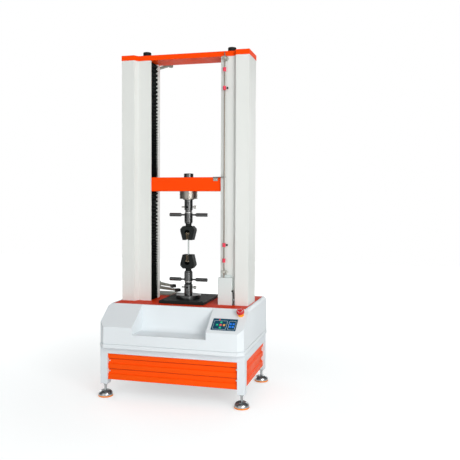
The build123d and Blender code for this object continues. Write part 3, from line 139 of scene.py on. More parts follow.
def mix_colours(tree, factor, first, second):
    """Two colours mixed by a factor. A colour is a tuple or another node's output."""
    mix = tree.nodes.new("ShaderNodeMix")
    mix.data_type = "RGBA"
    for socket, colour in (("A", first), ("B", second)):
        target = next(i for i in mix.inputs if i.name == socket and i.type == "RGBA")
        if isinstance(colour, tuple):
            target.default_value = (*colour, 1)
        else:
            tree.links.new(colour, target)
    factor_in = next(i for i in mix.inputs if i.name == "Factor" and i.type == "VALUE")
    tree.links.new(factor, factor_in)
    return next(o for o in mix.outputs if o.type == "RGBA")


def soft_edges(tree, radius):
    """Rounds the look of sharp sheet and machined edges."""
    bevel = tree.nodes.new("ShaderNodeBevel")
    bevel.samples = 4
    bevel.inputs["Radius"].default_value = radius
    return bevel.outputs["Normal"]


def relief(tree, shader, height, strength, distance, under=None):
    """Bump from a height, on top of another normal if there is one."""
    bump = tree.nodes.new("ShaderNodeBump")
    bump.inputs["Strength"].default_value = strength
    bump.inputs["Distance"].default_value = distance
    tree.links.new(height, bump.inputs["Height"])
    if under:
        tree.links.new(under, bump.inputs["Normal"])
    tree.links.new(bump.outputs["Normal"], shader.inputs["Normal"])


def shade(colour, amount):
    """A colour made darker or lighter."""
    return tuple(max(0.0, channel * amount) for channel in colour)


def powder_coat(name, colour, roughness, edge=0.0014, peel=0.00012, gloss=0.5):
    """Baked powder paint: a fine orange peel, a trace of dust and a slow change of tone."""
    material, tree, shader, place = finish_base(name, colour, roughness, 0.0, gloss)
    cloud = spread(tree, grain(tree, place, 2.3, 3.0), 0, 1)
    tone = mix_colours(tree, cloud, shade(colour, 0.975), shade(colour, 1.02))
    speck = spread(tree, grain(tree, place, 900, 1.0), 0, 0.35, 0.62, 0.75)
    tree.links.new(mix_colours(tree, speck, tone, shade(colour, 0.93)), shader.inputs["Base Color"])
    smear = grain(tree, place, 14, 4.0, (1, 1, 0.35))
    tree.links.new(spread(tree, smear, roughness - 0.05, roughness + 0.07), shader.inputs["Roughness"])
    relief(tree, shader, grain(tree, place, 420, 2.0), 0.35, peel, soft_edges(tree, edge))
    return material


def bands(tree, place, axis, spans):
    """1 where the place along an axis lies inside one of the spans, else 0."""
    split = tree.nodes.new("ShaderNodeSeparateXYZ")
    tree.links.new(place, split.inputs["Vector"])
    total = None
    for low, high in spans:
        inside = tree.nodes.new("ShaderNodeMath")
        inside.operation = "COMPARE"
        inside.inputs[1].default_value = (low + high) / 2
        inside.inputs[2].default_value = (high - low) / 2
        tree.links.new(split.outputs[axis], inside.inputs[0])
        total = inside.outputs[0] if total is None else work_out(tree, "MAXIMUM", total, inside.outputs[0])
    return total


def paint_fold_shade(material, spans, colour):
    """Painted shade along the folds of a painted sheet, in bands of height, broken into patches by noise.
    """
    tree = material.node_tree
    shader = tree.nodes["Principled BSDF"]
    place = next(n for n in tree.nodes if n.type == "TEX_COORD").outputs["Object"]
    paint = shader.inputs["Base Color"].links[0].from_socket
    patches = spread(tree, grain(tree, place, 9, 4.0), 0.55, 0.9)
    fold_shade = work_out(tree, "MULTIPLY", bands(tree, place, "Z", spans), patches)
    tree.links.new(mix_colours(tree, fold_shade, paint, colour), shader.inputs["Base Color"])


def blued_steel(name, colour, roughness, rings=0.0, edge=0.0009, gloss=0.5):
    """Oiled black oxide on steel, with turned rings where it came off a lathe.

    It is a little paler where hands rub it.
    """
    material, tree, shader, place = finish_base(name, colour, roughness, 0.0, gloss)
    rub = spread(tree, grain(tree, place, 55, 5.0), 0, 0.3, 0.58, 0.85)
    cloud = spread(tree, grain(tree, place, 9, 3.0), 0, 1)
    tone = mix_colours(tree, cloud, shade(colour, 0.8), shade(colour, 1.25))
    tree.links.new(mix_colours(tree, rub, tone, shade(colour, 2.6)), shader.inputs["Base Color"])
    oil = grain(tree, place, 24, 2.0, (1, 1, 0.25))
    tree.links.new(spread(tree, oil, roughness - 0.03, roughness + 0.05), shader.inputs["Roughness"])
    if rings:
        marks = grain(tree, place, 1.0, 2.0, (20, 20, rings))
    else:
        marks = grain(tree, place, 260, 3.0)
    relief(tree, shader, marks, 0.08 if rings else 0.2, 0.00006, soft_edges(tree, edge))
    return material


def bare_steel(name, colour, roughness, stretch, strength=0.35, edge=0.0006):
    """Turned, ground or drawn metal with its tool marks running one way."""
    material, tree, shader, place = finish_base(name, colour, roughness, 1.0)
    marks = grain(tree, place, 1.0, 3.0, stretch)
    cloud = spread(tree, grain(tree, place, 18, 3.0), 0, 1)
    tone = mix_colours(tree, cloud, shade(colour, 0.86), shade(colour, 1.08))
    tree.links.new(tone, shader.inputs["Base Color"])
    tree.links.new(spread(tree, marks, roughness - 0.07, roughness + 0.1), shader.inputs["Roughness"])
    relief(tree, shader, marks, strength, 0.00008, soft_edges(tree, edge))
    return material


def moulded(name, colour, roughness, edge=0.0006, gloss=0.5):
    """Moulded or printed plastic with a faint spark texture."""
    material, tree, shader, place = finish_base(name, colour, roughness, 0.0, gloss)
    cloud = spread(tree, grain(tree, place, 60, 3.0), 0, 1)
    tone = mix_colours(tree, cloud, shade(colour, 0.93), shade(colour, 1.05))
    tree.links.new(tone, shader.inputs["Base Color"])
    wear = grain(tree, place, 130, 3.0)
    tree.links.new(spread(tree, wear, roughness - 0.05, roughness + 0.08), shader.inputs["Roughness"])
    relief(tree, shader, grain(tree, place, 1400, 1.0), 0.25, 0.00005, soft_edges(tree, edge))
    return material


def two_finishes(name, axis, spans, first, second, edge=0.0006, turn=0.0):
    """One node in two finishes, the first inside the spans. The turn swings the axis about Z."""
    material, tree, shader, place = finish_base(name, second.colour, second.roughness, second.metallic, 0.4)
    turned = tree.nodes.new("ShaderNodeMapping")
    turned.inputs["Rotation"].default_value = (0, 0, turn)
    tree.links.new(place, turned.inputs["Vector"])
    mask = bands(tree, turned.outputs["Vector"], axis, spans)
    cloud = spread(tree, grain(tree, place, 30, 3.0), 0, 1)
    outside = mix_colours(tree, cloud, shade(second.colour, 0.88), shade(second.colour, 1.1))
    inside = mix_colours(tree, cloud, shade(first.colour, 0.88), shade(first.colour, 1.1))
    tree.links.new(mix_colours(tree, mask, outside, inside), shader.inputs["Base Color"])
    metal = spread(tree, mask, second.metallic, first.metallic, 0, 1)
    tree.links.new(metal, shader.inputs["Metallic"])
    marks = grain(tree, place, 1.0, 3.0, second.stretch)
    rough = tree.nodes.new("ShaderNodeMix")
    tree.links.new(mask, rough.inputs[0])
    tree.links.new(spread(tree, marks, second.roughness - 0.06, second.roughness + 0.08), rough.inputs[2])
    rough.inputs[3].default_value = first.roughness
    tree.links.new(rough.outputs[0], shader.inputs["Roughness"])
    relief(tree, shader, marks, 0.3, 0.00008, soft_edges(tree, edge))
    return material


def bellows_fabric(name, colour):
    """Coated cloth: a fine weave under a slightly shiny black coat, paler where the folds rub."""
    material, tree, shader, place = finish_base(name, colour, 0.6, 0.0, 0.03)
    threads = []
    for way in ("Y", "Z"):
        thread = tree.nodes.new("ShaderNodeTexWave")
        thread.bands_direction = way
        thread.inputs["Scale"].default_value = 260
        tree.links.new(place, thread.inputs["Vector"])
        threads.append(thread.outputs["Fac"])
    weave = work_out(tree, "MULTIPLY", *threads)
    dust = spread(tree, grain(tree, place, 26, 4.0), 0, 1)
    tone = mix_colours(tree, dust, shade(colour, 0.75), shade(colour, 1.5))
    tree.links.new(tone, shader.inputs["Base Color"])
    tree.links.new(spread(tree, grain(tree, place, 70, 3.0), 0.5, 0.7), shader.inputs["Roughness"])
    relief(tree, shader, weave, 0.4, 0.00015)
    return material


BLACK = linear(19, 22, 22)
orange_enamel = powder_coat("orange_enamel", linear(255, 72, 0), 0.42, gloss=0.06)
# A darker copy of the orange enamel for the table plate: painted shade for its top, which gets less light,
# so it also bounces less orange light
table_enamel_shaded = powder_coat("table_enamel_shaded", linear(222, 52, 1), 0.5, gloss=0.06)
panel_enamel = powder_coat("panel_enamel", linear(255, 86, 6), 0.45, 0.002, gloss=0.1)
hood_enamel = powder_coat("hood_enamel", linear(228, 234, 237), 0.5, 0.0022, 0.00018)
column_enamel = powder_coat("column_enamel", linear(222, 224, 220), 0.5, 0.0018)
stand_enamel = powder_coat("stand_enamel", linear(224, 231, 235), 0.5, 0.0018)
# A cooler, darker copy of the column enamel for the limit box: painted shade that cancels the orange light
# bounced onto it from the table
box_enamel_shaded = powder_coat("box_enamel_shaded", linear(213, 221, 219), 0.5, 0.0018)
# Painted shade on the down-facing fold flanks of the panels
paint_fold_shade(panel_enamel, PANEL_FOLDS, linear(208, 56, 12))
blued_turned = blued_steel("blued_turned", BLACK, 0.2, 900, gloss=1.0)
blued_milled = blued_steel("blued_milled", linear(27, 31, 30), 0.6, gloss=0.16)
blued_plate = blued_steel("blued_plate", linear(25, 31, 29), 0.52, gloss=0.16)
turned_steel = bare_steel("turned_steel", (0.272, 0.247, 0.218), 0.33, (8, 8, 1100))
ground_steel = bare_steel("ground_steel", (0.56, 0.55, 0.52), 0.24, (60, 60, 900))
drawn_alloy = bare_steel("drawn_alloy", (0.44, 0.475, 0.46), 0.4, (700, 700, 12))
sheet_alloy = bare_steel("sheet_alloy", (0.3, 0.295, 0.27), 0.4, (90, 700, 90))
zinc_plate = bare_steel("zinc_plate", (0.52, 0.52, 0.48), 0.42, (90, 700, 90))
plated_screw = bare_steel("plated_screw", (0.66, 0.66, 0.64), 0.28, (300, 300, 300))
brass_wire = bare_steel("brass_wire", (0.5, 0.45, 0.36), 0.3, (400, 400, 400))
jaw_bronze = bare_steel("jaw_bronze", (0.17, 0.13, 0.085), 0.42, (300, 300, 60))
fabric = bellows_fabric("bellows_fabric", linear(3, 5, 5))
grey_green = powder_coat("grey_green", linear(140, 146, 134), 0.44, 0.0008)
clip_black = moulded("clip_black", linear(38, 40, 40), 0.45)
matt_black = moulded("matt_black", linear(9, 10, 10), 0.6, gloss=0.06)
film_blue = moulded("film_blue", linear(14, 72, 98), 0.36, 0.0004, gloss=0.2)
print_white = moulded("print_white", linear(205, 222, 228), 0.4, 0.0001)
key_print = moulded("key_print", linear(176, 200, 205), 0.4, 0.0001, gloss=0.2)
key_green = moulded("key_green", linear(6, 196, 142), 0.36, gloss=0.2)
key_red = moulded("key_red", linear(245, 84, 100), 0.36, gloss=0.2)
key_amber = moulded("key_amber", linear(255, 190, 70), 0.36, gloss=0.2)
key_blue = moulded("key_blue", linear(20, 128, 245), 0.36, gloss=0.2)
stop_red = moulded("stop_red", linear(206, 28, 34), 0.24, 0.001)
stop_amber = moulded("stop_amber", linear(255, 160, 14), 0.34, 0.001, gloss=0.25)
rubber_black = moulded("rubber_black", linear(34, 35, 36), 0.55, 0.0003)
belt_rubber = moulded("belt_rubber", linear(28, 29, 30), 0.6)
cast_grey = powder_coat("cast_grey", linear(70, 74, 78), 0.5, 0.001)

BLUED = Finish(BLACK, 0.36, 0.2, (20, 20, 900))
KNURLED = Finish(BLACK, 0.4, 0.0, (900, 60, 60))
BRIGHT = Finish((0.5, 0.5, 0.49), 0.46, 1.0, (20, 20, 900))
DULL = Finish((0.13, 0.13, 0.13), 0.36, 1.0, (20, 20, 900))
CHROME = Finish((0.40, 0.415, 0.42), 0.27, 1.0, (12, 12, 500))
DRAWN = Finish((0.23, 0.2, 0.17), 0.34, 1.0, (200, 200, 8))
GREY_GREEN = Finish(linear(150, 156, 144), 0.42, 0.0, (60, 60, 60))
CLIP = Finish(linear(36, 38, 38), 0.42, 0.0, (200, 200, 200))
RED = Finish(linear(226, 52, 78), 0.32, 0.0, (60, 60, 60))
AMBER_RUBBER = Finish(linear(252, 142, 30), 0.5, 0.0, (60, 60, 60))
upper_swing = math.radians(-ARM_ANGLES["upper"])
lower_swing = math.radians(-ARM_ANGLES["lower"])
foot_finish = two_finishes("foot_finish", "Z", FOOT_PAD, AMBER_RUBBER, CHROME)
lower_stem_finish = two_finishes("lower_stem_finish", "Z", LOWER_LOCK_RING, BRIGHT, BLUED)
upper_stem_finish = two_finishes("upper_stem_finish", "Z", UPPER_LOCK_RING, BRIGHT, DULL)
rod_finish = two_finishes("rod_finish", "Z", ROD_RINGS, RED, DRAWN)
upper_arm_finish = two_finishes("upper_arm_finish", "X", UPPER_CLIP, CLIP, GREY_GREEN, turn=upper_swing)
lower_arm_finish = two_finishes("lower_arm_finish", "X", LOWER_CLIP, CLIP, GREY_GREEN, turn=lower_swing)
collar_finish = two_finishes("collar_finish", "X", COLLAR_BODY, RED, KNURLED)

for finish, nodes in (
    (orange_enamel, ("top_plate", "crosshead")),
    (table_enamel_shaded, ("table_plate",)),
    (panel_enamel, ("front_panel", "base_panels")),
    (hood_enamel, ("base_cover",)),
    (stand_enamel, ("base_frame",)),
    (column_enamel, ("left_column_cover", "right_column_cover")),
    (box_enamel_shaded, ("limit_box",)),
    (blued_milled, ("top_bolts", "lower_grip_body", "upper_grip_body")),
    (blued_turned, ("crosshead_bolt", "lower_adapter", "upper_adapter", "lower_sleeve", "upper_sleeve")),
    (blued_plate, ("base_plate",)),
    (turned_steel, ("load_cell",)),
    (ground_steel, ("guide_columns", "left_ball_screw", "right_ball_screw", "ball_nuts")),
    (ground_steel, ("lower_pin", "upper_pin")),
    (drawn_alloy, ("specimen",)),
    (foot_finish, ("feet",)),
    (lower_stem_finish, ("lower_stem",)),
    (upper_stem_finish, ("upper_stem",)),
    (rod_finish, ("limit_rod",)),
    (collar_finish, ("upper_stop_collar", "lower_stop_collar")),
    (zinc_plate, ("rod_brackets",)),
    (sheet_alloy, ("trip_finger", "motor_pulley")),
    (rubber_black, ("limit_cable",)),
    (jaw_bronze, ("lower_left_jaw", "lower_right_jaw", "upper_left_jaw", "upper_right_jaw")),
    (film_blue, ("control_panel",)),
    (key_green, ("jog_up_key", "jog_down_key", "start_key")),
    (key_red, ("stop_key",)),
    (key_amber, ("return_key",)),
    (key_blue, ("function_key_1", "function_key_2", "function_key_3", "function_key_4")),
    (stop_red, ("estop_head",)),
    (stop_amber, ("estop_base",)),
    (grey_green, ("extensometer_mast",)),
    (upper_arm_finish, ("extensometer_upper_arm",)),
    (lower_arm_finish, ("extensometer_lower_arm",)),
    (cast_grey, ("motor",)),
    (belt_rubber, ("drive_belt",)),
):
    for node in nodes:
        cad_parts[node].data.materials.clear()
        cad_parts[node].data.materials.append(finish)


# Modelling by hand
def model_cylinder(radius, depth, place, sides=24, lean=(0, 0, 0)):
    bpy.ops.object.select_all(action="DESELECT")
    bpy.ops.mesh.primitive_cylinder_add(
        vertices=sides, radius=radius, depth=depth, location=place, rotation=lean
    )
    return bpy.context.object


def model_block(size, place):
    bpy.ops.object.select_all(action="DESELECT")
    bpy.ops.mesh.primitive_cube_add(size=1, location=place)
    block = bpy.context.object
    block.scale = size
    bpy.ops.object.transform_apply(location=False, rotation=False, scale=True)
    return block


def on_top(centre, normal):
    return normal.z > 0.9


def on_both_ends(centre, normal):
    return abs(normal.z) > 0.9


def on_right(centre, normal):
    return normal.x > 0.9


def pick_faces(piece, wanted):
    """Selects the faces of a piece that are wanted, by centre and normal, and leaves it in edit mode."""
    bpy.context.view_layer.objects.active = piece
    bpy.ops.object.mode_set(mode="EDIT")
    bpy.ops.mesh.select_mode(type="FACE")
    bpy.ops.mesh.select_all(action="DESELECT")
    bpy.ops.object.mode_set(mode="OBJECT")
    for face in piece.data.polygons:
        face.select = wanted(face.center, face.normal)
    bpy.ops.object.mode_set(mode="EDIT")


def round_edges(piece, wanted, width, segments):
    """Bevels the edges of the faces that are wanted."""
    pick_faces(piece, wanted)
    bpy.ops.mesh.bevel(offset=width, segments=segments, affect="EDGES")
    bpy.ops.object.mode_set(mode="OBJECT")


def inset_faces(piece, wanted, border, rise=0.0, each=False):
    """Draws a border inside the faces that are wanted, and raises or sinks what lies within."""
    pick_faces(piece, wanted)
    bpy.ops.mesh.inset(thickness=border, depth=rise, use_individual=each)
    bpy.ops.object.mode_set(mode="OBJECT")


def apply_all(piece):
    bpy.context.view_layer.objects.active = piece
    for step in [m.name for m in piece.modifiers]:
        bpy.ops.object.modifier_apply(modifier=step)


def join_pieces(pieces):
    bpy.ops.object.select_all(action="DESELECT")
    for piece in pieces:
        piece.select_set(True)
    bpy.context.view_layer.objects.active = pieces[0]
    bpy.ops.object.join()
    return pieces[0]


def cut_out(piece, cutter):
    """Takes the cutter's form out of the piece."""
    cut = piece.modifiers.new("cut", "BOOLEAN")
    cut.operation = "DIFFERENCE"
    cut.solver = "EXACT"
    cut.object = cutter
    apply_all(piece)
    bpy.data.objects.remove(cutter)


def settle(piece, name, finish, smooth=0.6):
    """Puts the place into the mesh and gives the piece its name and finish."""
    bpy.ops.object.select_all(action="DESELECT")
    piece.select_set(True)
    bpy.context.view_layer.objects.active = piece
    bpy.ops.object.transform_apply(location=True, rotation=True, scale=True)
    bpy.ops.object.shade_smooth_by_angle(angle=smooth)
    piece.name = name
    piece.data.name = name
    piece.data.materials.clear()
    piece.data.materials.append(finish)
    return piece


def copy_to(model, name, matrix, body):
    """A copy of a modelled piece with its own mesh, put in its place on a body."""
    copy = model.copy()
    copy.data = model.data.copy()
    bpy.context.scene.collection.objects.link(copy)
    copy.matrix_world = matrix @ model.matrix_world
    bpy.ops.object.select_all(action="DESELECT")
    copy.select_set(True)
    bpy.context.view_layer.objects.active = copy
    bpy.ops.object.transform_apply(location=True, rotation=True, scale=True)
    copy.name = name
    copy.data.name = name
    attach(copy, body)
    return copy


def facing(place, normal, turn=0.0):
    """The place of a fastener that was modelled along +Z."""
    lean = Vector(normal).to_track_quat("Z", "Y").to_matrix().to_4x4()
    return Matrix.Translation(place) @ lean @ Matrix.Rotation(turn, 4, "Z")


def model_pan_screw(radius, height):
    """A pan head screw with a cross recess, head up."""
    slot = radius * 0.22
    arm = radius * 1.15
    middle = (0, 0, height * 0.95)
    head = model_cylinder(radius, height, (0, 0, height / 2), 24)
    round_edges(head, on_top, height * 0.62, 3)
    cut_out(head, model_block((arm, slot, height), middle))
    cut_out(head, model_block((slot, arm, height), middle))
    return settle(head, "pan_screw_model", plated_screw, 0.5)


def model_socket_screw(radius, height, finish):
    """A socket head screw with a broken edge and a hexagon recess, head up."""
    head = model_cylinder(radius, height, (0, 0, height / 2), 32)
    round_edges(head, on_top, radius * 0.1, 2)
    cut_out(head, model_cylinder(radius * 0.58, height, (0, 0, height * 0.95), 6))
    return settle(head, "socket_screw_model", finish, 0.5)


# Bellows: each run of folds starts as a flat strip and is creased row by row
BELLOWS_TIP = 0.2005
BELLOWS_DEPTH = 0.013
BELLOWS_WIDTH = 0.0992
CLOTH = 0.0011
END_GAP = 0.0003
PACKED = 0.060
PACKED_FOLDS = 24
LOWER_FOLDS = 76
UPPER_FOLDS = 72
FOOT_PITCH = 0.42


def crease_heights(low, high, folds, foot_pitch):
    """Heights of the creases of a hanging curtain: its weight closes the folds toward the foot."""
    shares = [i / folds for i in range(folds + 1)]
    return [low + (high - low) * share * (foot_pitch + (1 - foot_pitch) * share) for share in shares]


def flat_strip(side, low, high, folds):
    """A flat strip of cloth between two heights, with a row of corners for each crease."""
    bpy.ops.object.select_all(action="DESELECT")
    bpy.ops.mesh.primitive_grid_add(x_subdivisions=folds, y_subdivisions=1, size=1, location=(0, 0, 0))
    strip = bpy.context.object
    strip.scale = (high - low, BELLOWS_WIDTH, 1)
    strip.rotation_euler = (0, -math.pi / 2, 0)
    strip.location = (side * (BELLOWS_TIP + BELLOWS_DEPTH), LOAD_Y, (low + high) / 2)
    bpy.ops.object.transform_apply(location=True, rotation=True, scale=True)
    return strip


def bellows_run(name, heights, first_in=False):
    """A left and a right stretch of folds, creased at these heights. first_in starts it on a tip."""
    low, high, folds = heights[0], heights[-1], len(heights) - 1
    step = (high - low) / folds
    tips = 0 if first_in else 1
    strips = []
    for side in (-1, 1):
        strip = flat_strip(side, low, high, folds)
        rows = [round((vertex.co.z - low) / step) for vertex in strip.data.vertices]
        for row, height in enumerate(heights):
            bpy.ops.object.mode_set(mode="EDIT")
            bpy.ops.mesh.select_mode(type="VERT")
            bpy.ops.mesh.select_all(action="DESELECT")
            bpy.ops.object.mode_set(mode="OBJECT")
            for vertex, own_row in zip(strip.data.vertices, rows):
                vertex.select = own_row == row
            bpy.ops.object.mode_set(mode="EDIT")
            inward = -side * BELLOWS_DEPTH if row % 2 == tips else 0
            bpy.ops.transform.translate(value=(inward, 0, height - low - row * step))
            bpy.ops.object.mode_set(mode="OBJECT")
        crease = strip.modifiers.new("crease", "BEVEL")
        crease.width = CLOTH
        crease.segments = 2
        crease.limit_method = "ANGLE"
        wall = strip.modifiers.new("wall", "SOLIDIFY")
        wall.thickness = CLOTH
        wall.offset = 0
        apply_all(strip)
        strips.append(strip)
    return settle(join_pieces(strips), name, fabric, 0.5)


def curtain(name, heights, marks, node):
    """The open folds of a curtain, in runs split at the marks, that together reach from one body to the
    other; the first run hides the solid node.
    """
    edges = [0] + marks + [len(heights) - 1]
    for i, (start, end) in enumerate(zip(edges, edges[1:])):
        run = bellows_run(f"{name}_run_{i + 1}", heights[start : end + 1], start % 2 == 1)
        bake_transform(run)
        if i == 0:
            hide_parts(node)


lower_foot = TABLE_TOP + END_GAP
lower_creases = crease_heights(lower_foot, lower_foot + PACKED, PACKED_FOLDS, 1.0)
lower_packed = bellows_run("lower_bellows_packed", lower_creases)
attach(lower_packed, "root")
lower_creases = crease_heights(lower_foot + PACKED, CROSSHEAD_LOW - END_GAP, LOWER_FOLDS, FOOT_PITCH)
curtain("lower_bellows", lower_creases, [4, 12, 28, 66, 73, 75], "lower_bellows")
upper_foot = CROSSHEAD_HIGH + END_GAP
upper_creases = crease_heights(upper_foot, upper_foot + PACKED, PACKED_FOLDS, 1.0)
upper_packed = bellows_run("upper_bellows_packed", upper_creases)
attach(upper_packed, "crosshead")
upper_creases = crease_heights(upper_foot + PACKED, COLUMN_TOP - END_GAP, UPPER_FOLDS, FOOT_PITCH)
curtain("upper_bellows", upper_creases, [4, 11, 26, 62, 69, 71], "upper_bellows")

# Screws of the panels, base plate, trip finger and limit box
PANEL_FACE_Y = 0.247
PANEL_FACE_X = 0.376
PANEL_SCREW_X = 0.346
PANEL_SCREW_Y = 0.216
PANEL_SCREW_ROWS = (0.1373, 0.1915)
PLATE_SCREW_X = 0.11
PLATE_SCREW_ROWS = (-0.084, 0.186)
PLATE_SCREW_FOOT = PLATE_TOP - 0.009
FINGER_SCREWS_X = (0.1625, 0.1735)
FINGER_FACE_Y = -0.025
FINGER_MIDDLE = 1.1525
BOX_SCREWS = ((0.1995, -0.052), (0.2645, -0.052), (0.2645, -0.038))
panel_screw = model_pan_screw(radius=0.0045, height=0.0026)
small_screw = model_pan_screw(radius=0.0026, height=0.0016)
plate_screw = model_socket_screw(radius=0.0072, height=0.0078, finish=blued_turned)

for i, (x, z) in enumerate((x, z) for x in (-PANEL_SCREW_X, PANEL_SCREW_X) for z in PANEL_SCREW_ROWS):
    front_spot = facing((x, -PANEL_FACE_Y, z), (0, -1, 0), 0.3 * i)
    rear_spot = facing((x, PANEL_FACE_Y, z), (0, 1, 0), 0.5 * i)
    copy_to(panel_screw, f"front_panel_screw_{i + 1}", front_spot, "root")
    copy_to(panel_screw, f"rear_panel_screw_{i + 1}", rear_spot, "root")
for i, (y, z) in enumerate((y, z) for y in (-PANEL_SCREW_Y, PANEL_SCREW_Y) for z in PANEL_SCREW_ROWS):
    left_spot = facing((-PANEL_FACE_X, y, z), (-1, 0, 0), 0.4 * i)
    right_spot = facing((PANEL_FACE_X, y, z), (1, 0, 0), 0.7 * i)
    copy_to(panel_screw, f"left_panel_screw_{i + 1}", left_spot, "root")
    copy_to(panel_screw, f"right_panel_screw_{i + 1}", right_spot, "root")
for i, (x, y) in enumerate((x, y) for y in PLATE_SCREW_ROWS for x in (-PLATE_SCREW_X, PLATE_SCREW_X)):
    spot = facing((x, y, PLATE_SCREW_FOOT), (0, 0, 1), 0.4 * i)
    copy_to(plate_screw, f"base_plate_screw_{i + 1}", spot, "root")
for i, x in enumerate(FINGER_SCREWS_X):
    spot = facing((x, FINGER_FACE_Y, FINGER_MIDDLE), (0, -1, 0), 0.8 * i)
    copy_to(small_screw, f"finger_screw_{i + 1}", spot, "crosshead")
for i, (x, y) in enumerate(BOX_SCREWS):
    spot = facing((x, y, BOX_TOP), (0, 0, 1), 0.6 * i)
    copy_to(small_screw, f"limit_box_screw_{i + 1}", spot, "root")

# Rod clamps: a drilled bar over each bracket's lip, with a screw either side of the rod
CLAMP_HEIGHT = 0.0105
CLAMP_HOLE_X = 0.0135
CLAMP_Y = -0.0370
CLAMP_SCREW_Y = -0.0379
ROD_TIP = 1.825
ROD_POINT = 0.010


def model_clamp_bar():
    """A short plated bar with rounded ends, a raised boss in its middle and a screw hole at each side."""
    bar = model_block((0.038, 0.003, CLAMP_HEIGHT), (0, 0, 0))
    round_edges(bar, lambda centre, normal: abs(normal.x) > 0.9, 0.0026, 3)
    boss = model_block((0.012, 0.0195, CLAMP_HEIGHT), (0, -0.0105, 0))
    inset_faces(boss, lambda centre, normal: normal.y < -0.9, 0.0015, 0.0012)
    for x in (-CLAMP_HOLE_X, CLAMP_HOLE_X):
        cut_out(bar, model_cylinder(0.0031, 0.004, (x, -0.0008, 0), 20, (math.pi / 2, 0, 0)))
    cut_out(boss, model_cylinder(0.0041, 0.02, (0, -0.014, 0), 24))
    return settle(join_pieces([bar, boss]), "clamp_bar_model", zinc_plate, 0.5)


clamp_bar = model_clamp_bar()
for place, height in (("top", 1.7935), ("foot", 0.6575)):
    copy_to(clamp_bar, f"{place}_rod_clamp", Matrix.Translation((ROD[0], CLAMP_Y, height)), "root")
    for i, x in enumerate((-CLAMP_HOLE_X, CLAMP_HOLE_X)):
        spot = facing((ROD[0] + x, CLAMP_SCREW_Y, height), (0, -1, 0), 0.5 + i)
        copy_to(small_screw, f"{place}_rod_clamp_screw_{i + 1}", spot, "root")

rod_point = model_cylinder(0.0035, ROD_POINT, (*ROD, ROD_TIP - ROD_POINT / 2), 24)
pick_faces(rod_point, on_top)
bpy.ops.transform.resize(value=(0.35, 0.35, 1), center_override=(*ROD, ROD_TIP))
bpy.ops.mesh.inset(thickness=0.0003, depth=0.0004)
bpy.ops.object.mode_set(mode="OBJECT")
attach(settle(rod_point, "limit_rod_point", ground_steel), "limit_rod")

# Flange of the limit box: the box's back plate stands above its cover and is screwed to the column
FLANGE_SIZE = (0.064, 0.0016, 0.0145)
FLANGE_Y = -0.0333
FLANGE_SCREW_X = 0.025
FLANGE_SCREW_UP = 0.0085
box_flange = model_block(FLANGE_SIZE, (BOX_MIDDLE, FLANGE_Y, BOX_TOP + FLANGE_SIZE[2] / 2))
round_edges(box_flange, on_top, 0.004, 3)
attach(settle(box_flange, "limit_box_flange", box_enamel_shaded), "root")
for i, x in enumerate((BOX_MIDDLE - FLANGE_SCREW_X, BOX_MIDDLE + FLANGE_SCREW_X)):
    spot = (x, FLANGE_Y - FLANGE_SIZE[1] / 2, BOX_TOP + FLANGE_SCREW_UP)
    copy_to(small_screw, f"limit_box_flange_screw_{i + 1}", facing(spot, (0, -1, 0), 0.7 * i), "root")

# Lead of the limit box: a gland where it comes out and a tie lower down
GLAND = (0.2703, -0.055, 0.5604)
GLAND_AIM = (0.61, 0, -0.79)
TIE = (0.2815, -0.055, 0.512)
gland = model_cylinder(0.0062, 0.004, (0, 0, 0.002), 6)
pick_faces(gland, on_top)
bpy.ops.mesh.inset(thickness=0.0008, depth=0.0008)
bpy.ops.mesh.inset(thickness=0.0004, depth=0)
bpy.ops.mesh.extrude_region_move(TRANSFORM_OT_translate={"value": (0, 0, 0.003)})
bpy.ops.object.mode_set(mode="OBJECT")
cut_out(gland, model_cylinder(0.0026, 0.02, (0, 0, 0.004), 20))
settle(gland, "gland_model", clip_black)
copy_to(gland, "limit_cable_gland", facing(GLAND, GLAND_AIM, 0.2), "root")

cable_tie = model_cylinder(0.0033, 0.005, TIE, 24)
inset_faces(cable_tie, on_both_ends, 0.0006)
cut_out(cable_tie, model_cylinder(0.00255, 0.02, TIE, 24))
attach(settle(cable_tie, "limit_cable_tie", print_white), "root")

# Knurled rims: two round the knob of each cross pin, one round the thumb screw of each stop collar
PIN_RIMS_X = (0.0338, 0.0422)
THUMB_RIM_X = 0.2408


def model_rim(radius, width, ribs, finish, name):
    """A knurled ring along X: every second face of its rim is pressed in."""
    rim = model_cylinder(radius, width, (0, 0, 0), 2 * ribs, (0, math.pi / 2, 0))
    bpy.ops.object.transform_apply(location=False, rotation=True, scale=False)
    around = [0]

    def every_second(centre, normal):
        if abs(normal.x) > 0.5:
            return False
        around[0] += 1
        return around[0] % 2 == 0

    def on_end_middles(centre, normal):
        return abs(normal.x) > 0.9 and math.hypot(centre.y, centre.z) < radius / 2

    inset_faces(rim, every_second, 0.0001, -radius * 0.06, each=True)
    inset_faces(rim, on_end_middles, radius * 0.12, radius * 0.08)
    return settle(rim, name, finish, 0.35)


pin_rim = model_rim(0.0089, 0.0048, 20, ground_steel, "pin_rim_model")
thumb_rim = model_rim(0.0054, 0.0062, 14, matt_black, "thumb_rim_model")
for place, mouth, up, body in GRIPS:
    for i, x in enumerate(PIN_RIMS_X):
        spot = Matrix.Translation((x, LOAD_Y, mouth + up * MOUTH_TO_PIN))
        copy_to(pin_rim, f"{place}_pin_rim_{i + 1}", spot, f"{place}_pin")
for place, height in (("upper", 1.635), ("lower", 0.803)):
    spot = Matrix.Translation((THUMB_RIM_X, ROD[1], height))
    copy_to(thumb_rim, f"{place}_thumb_rim", spot, f"{place}_stop_collar")

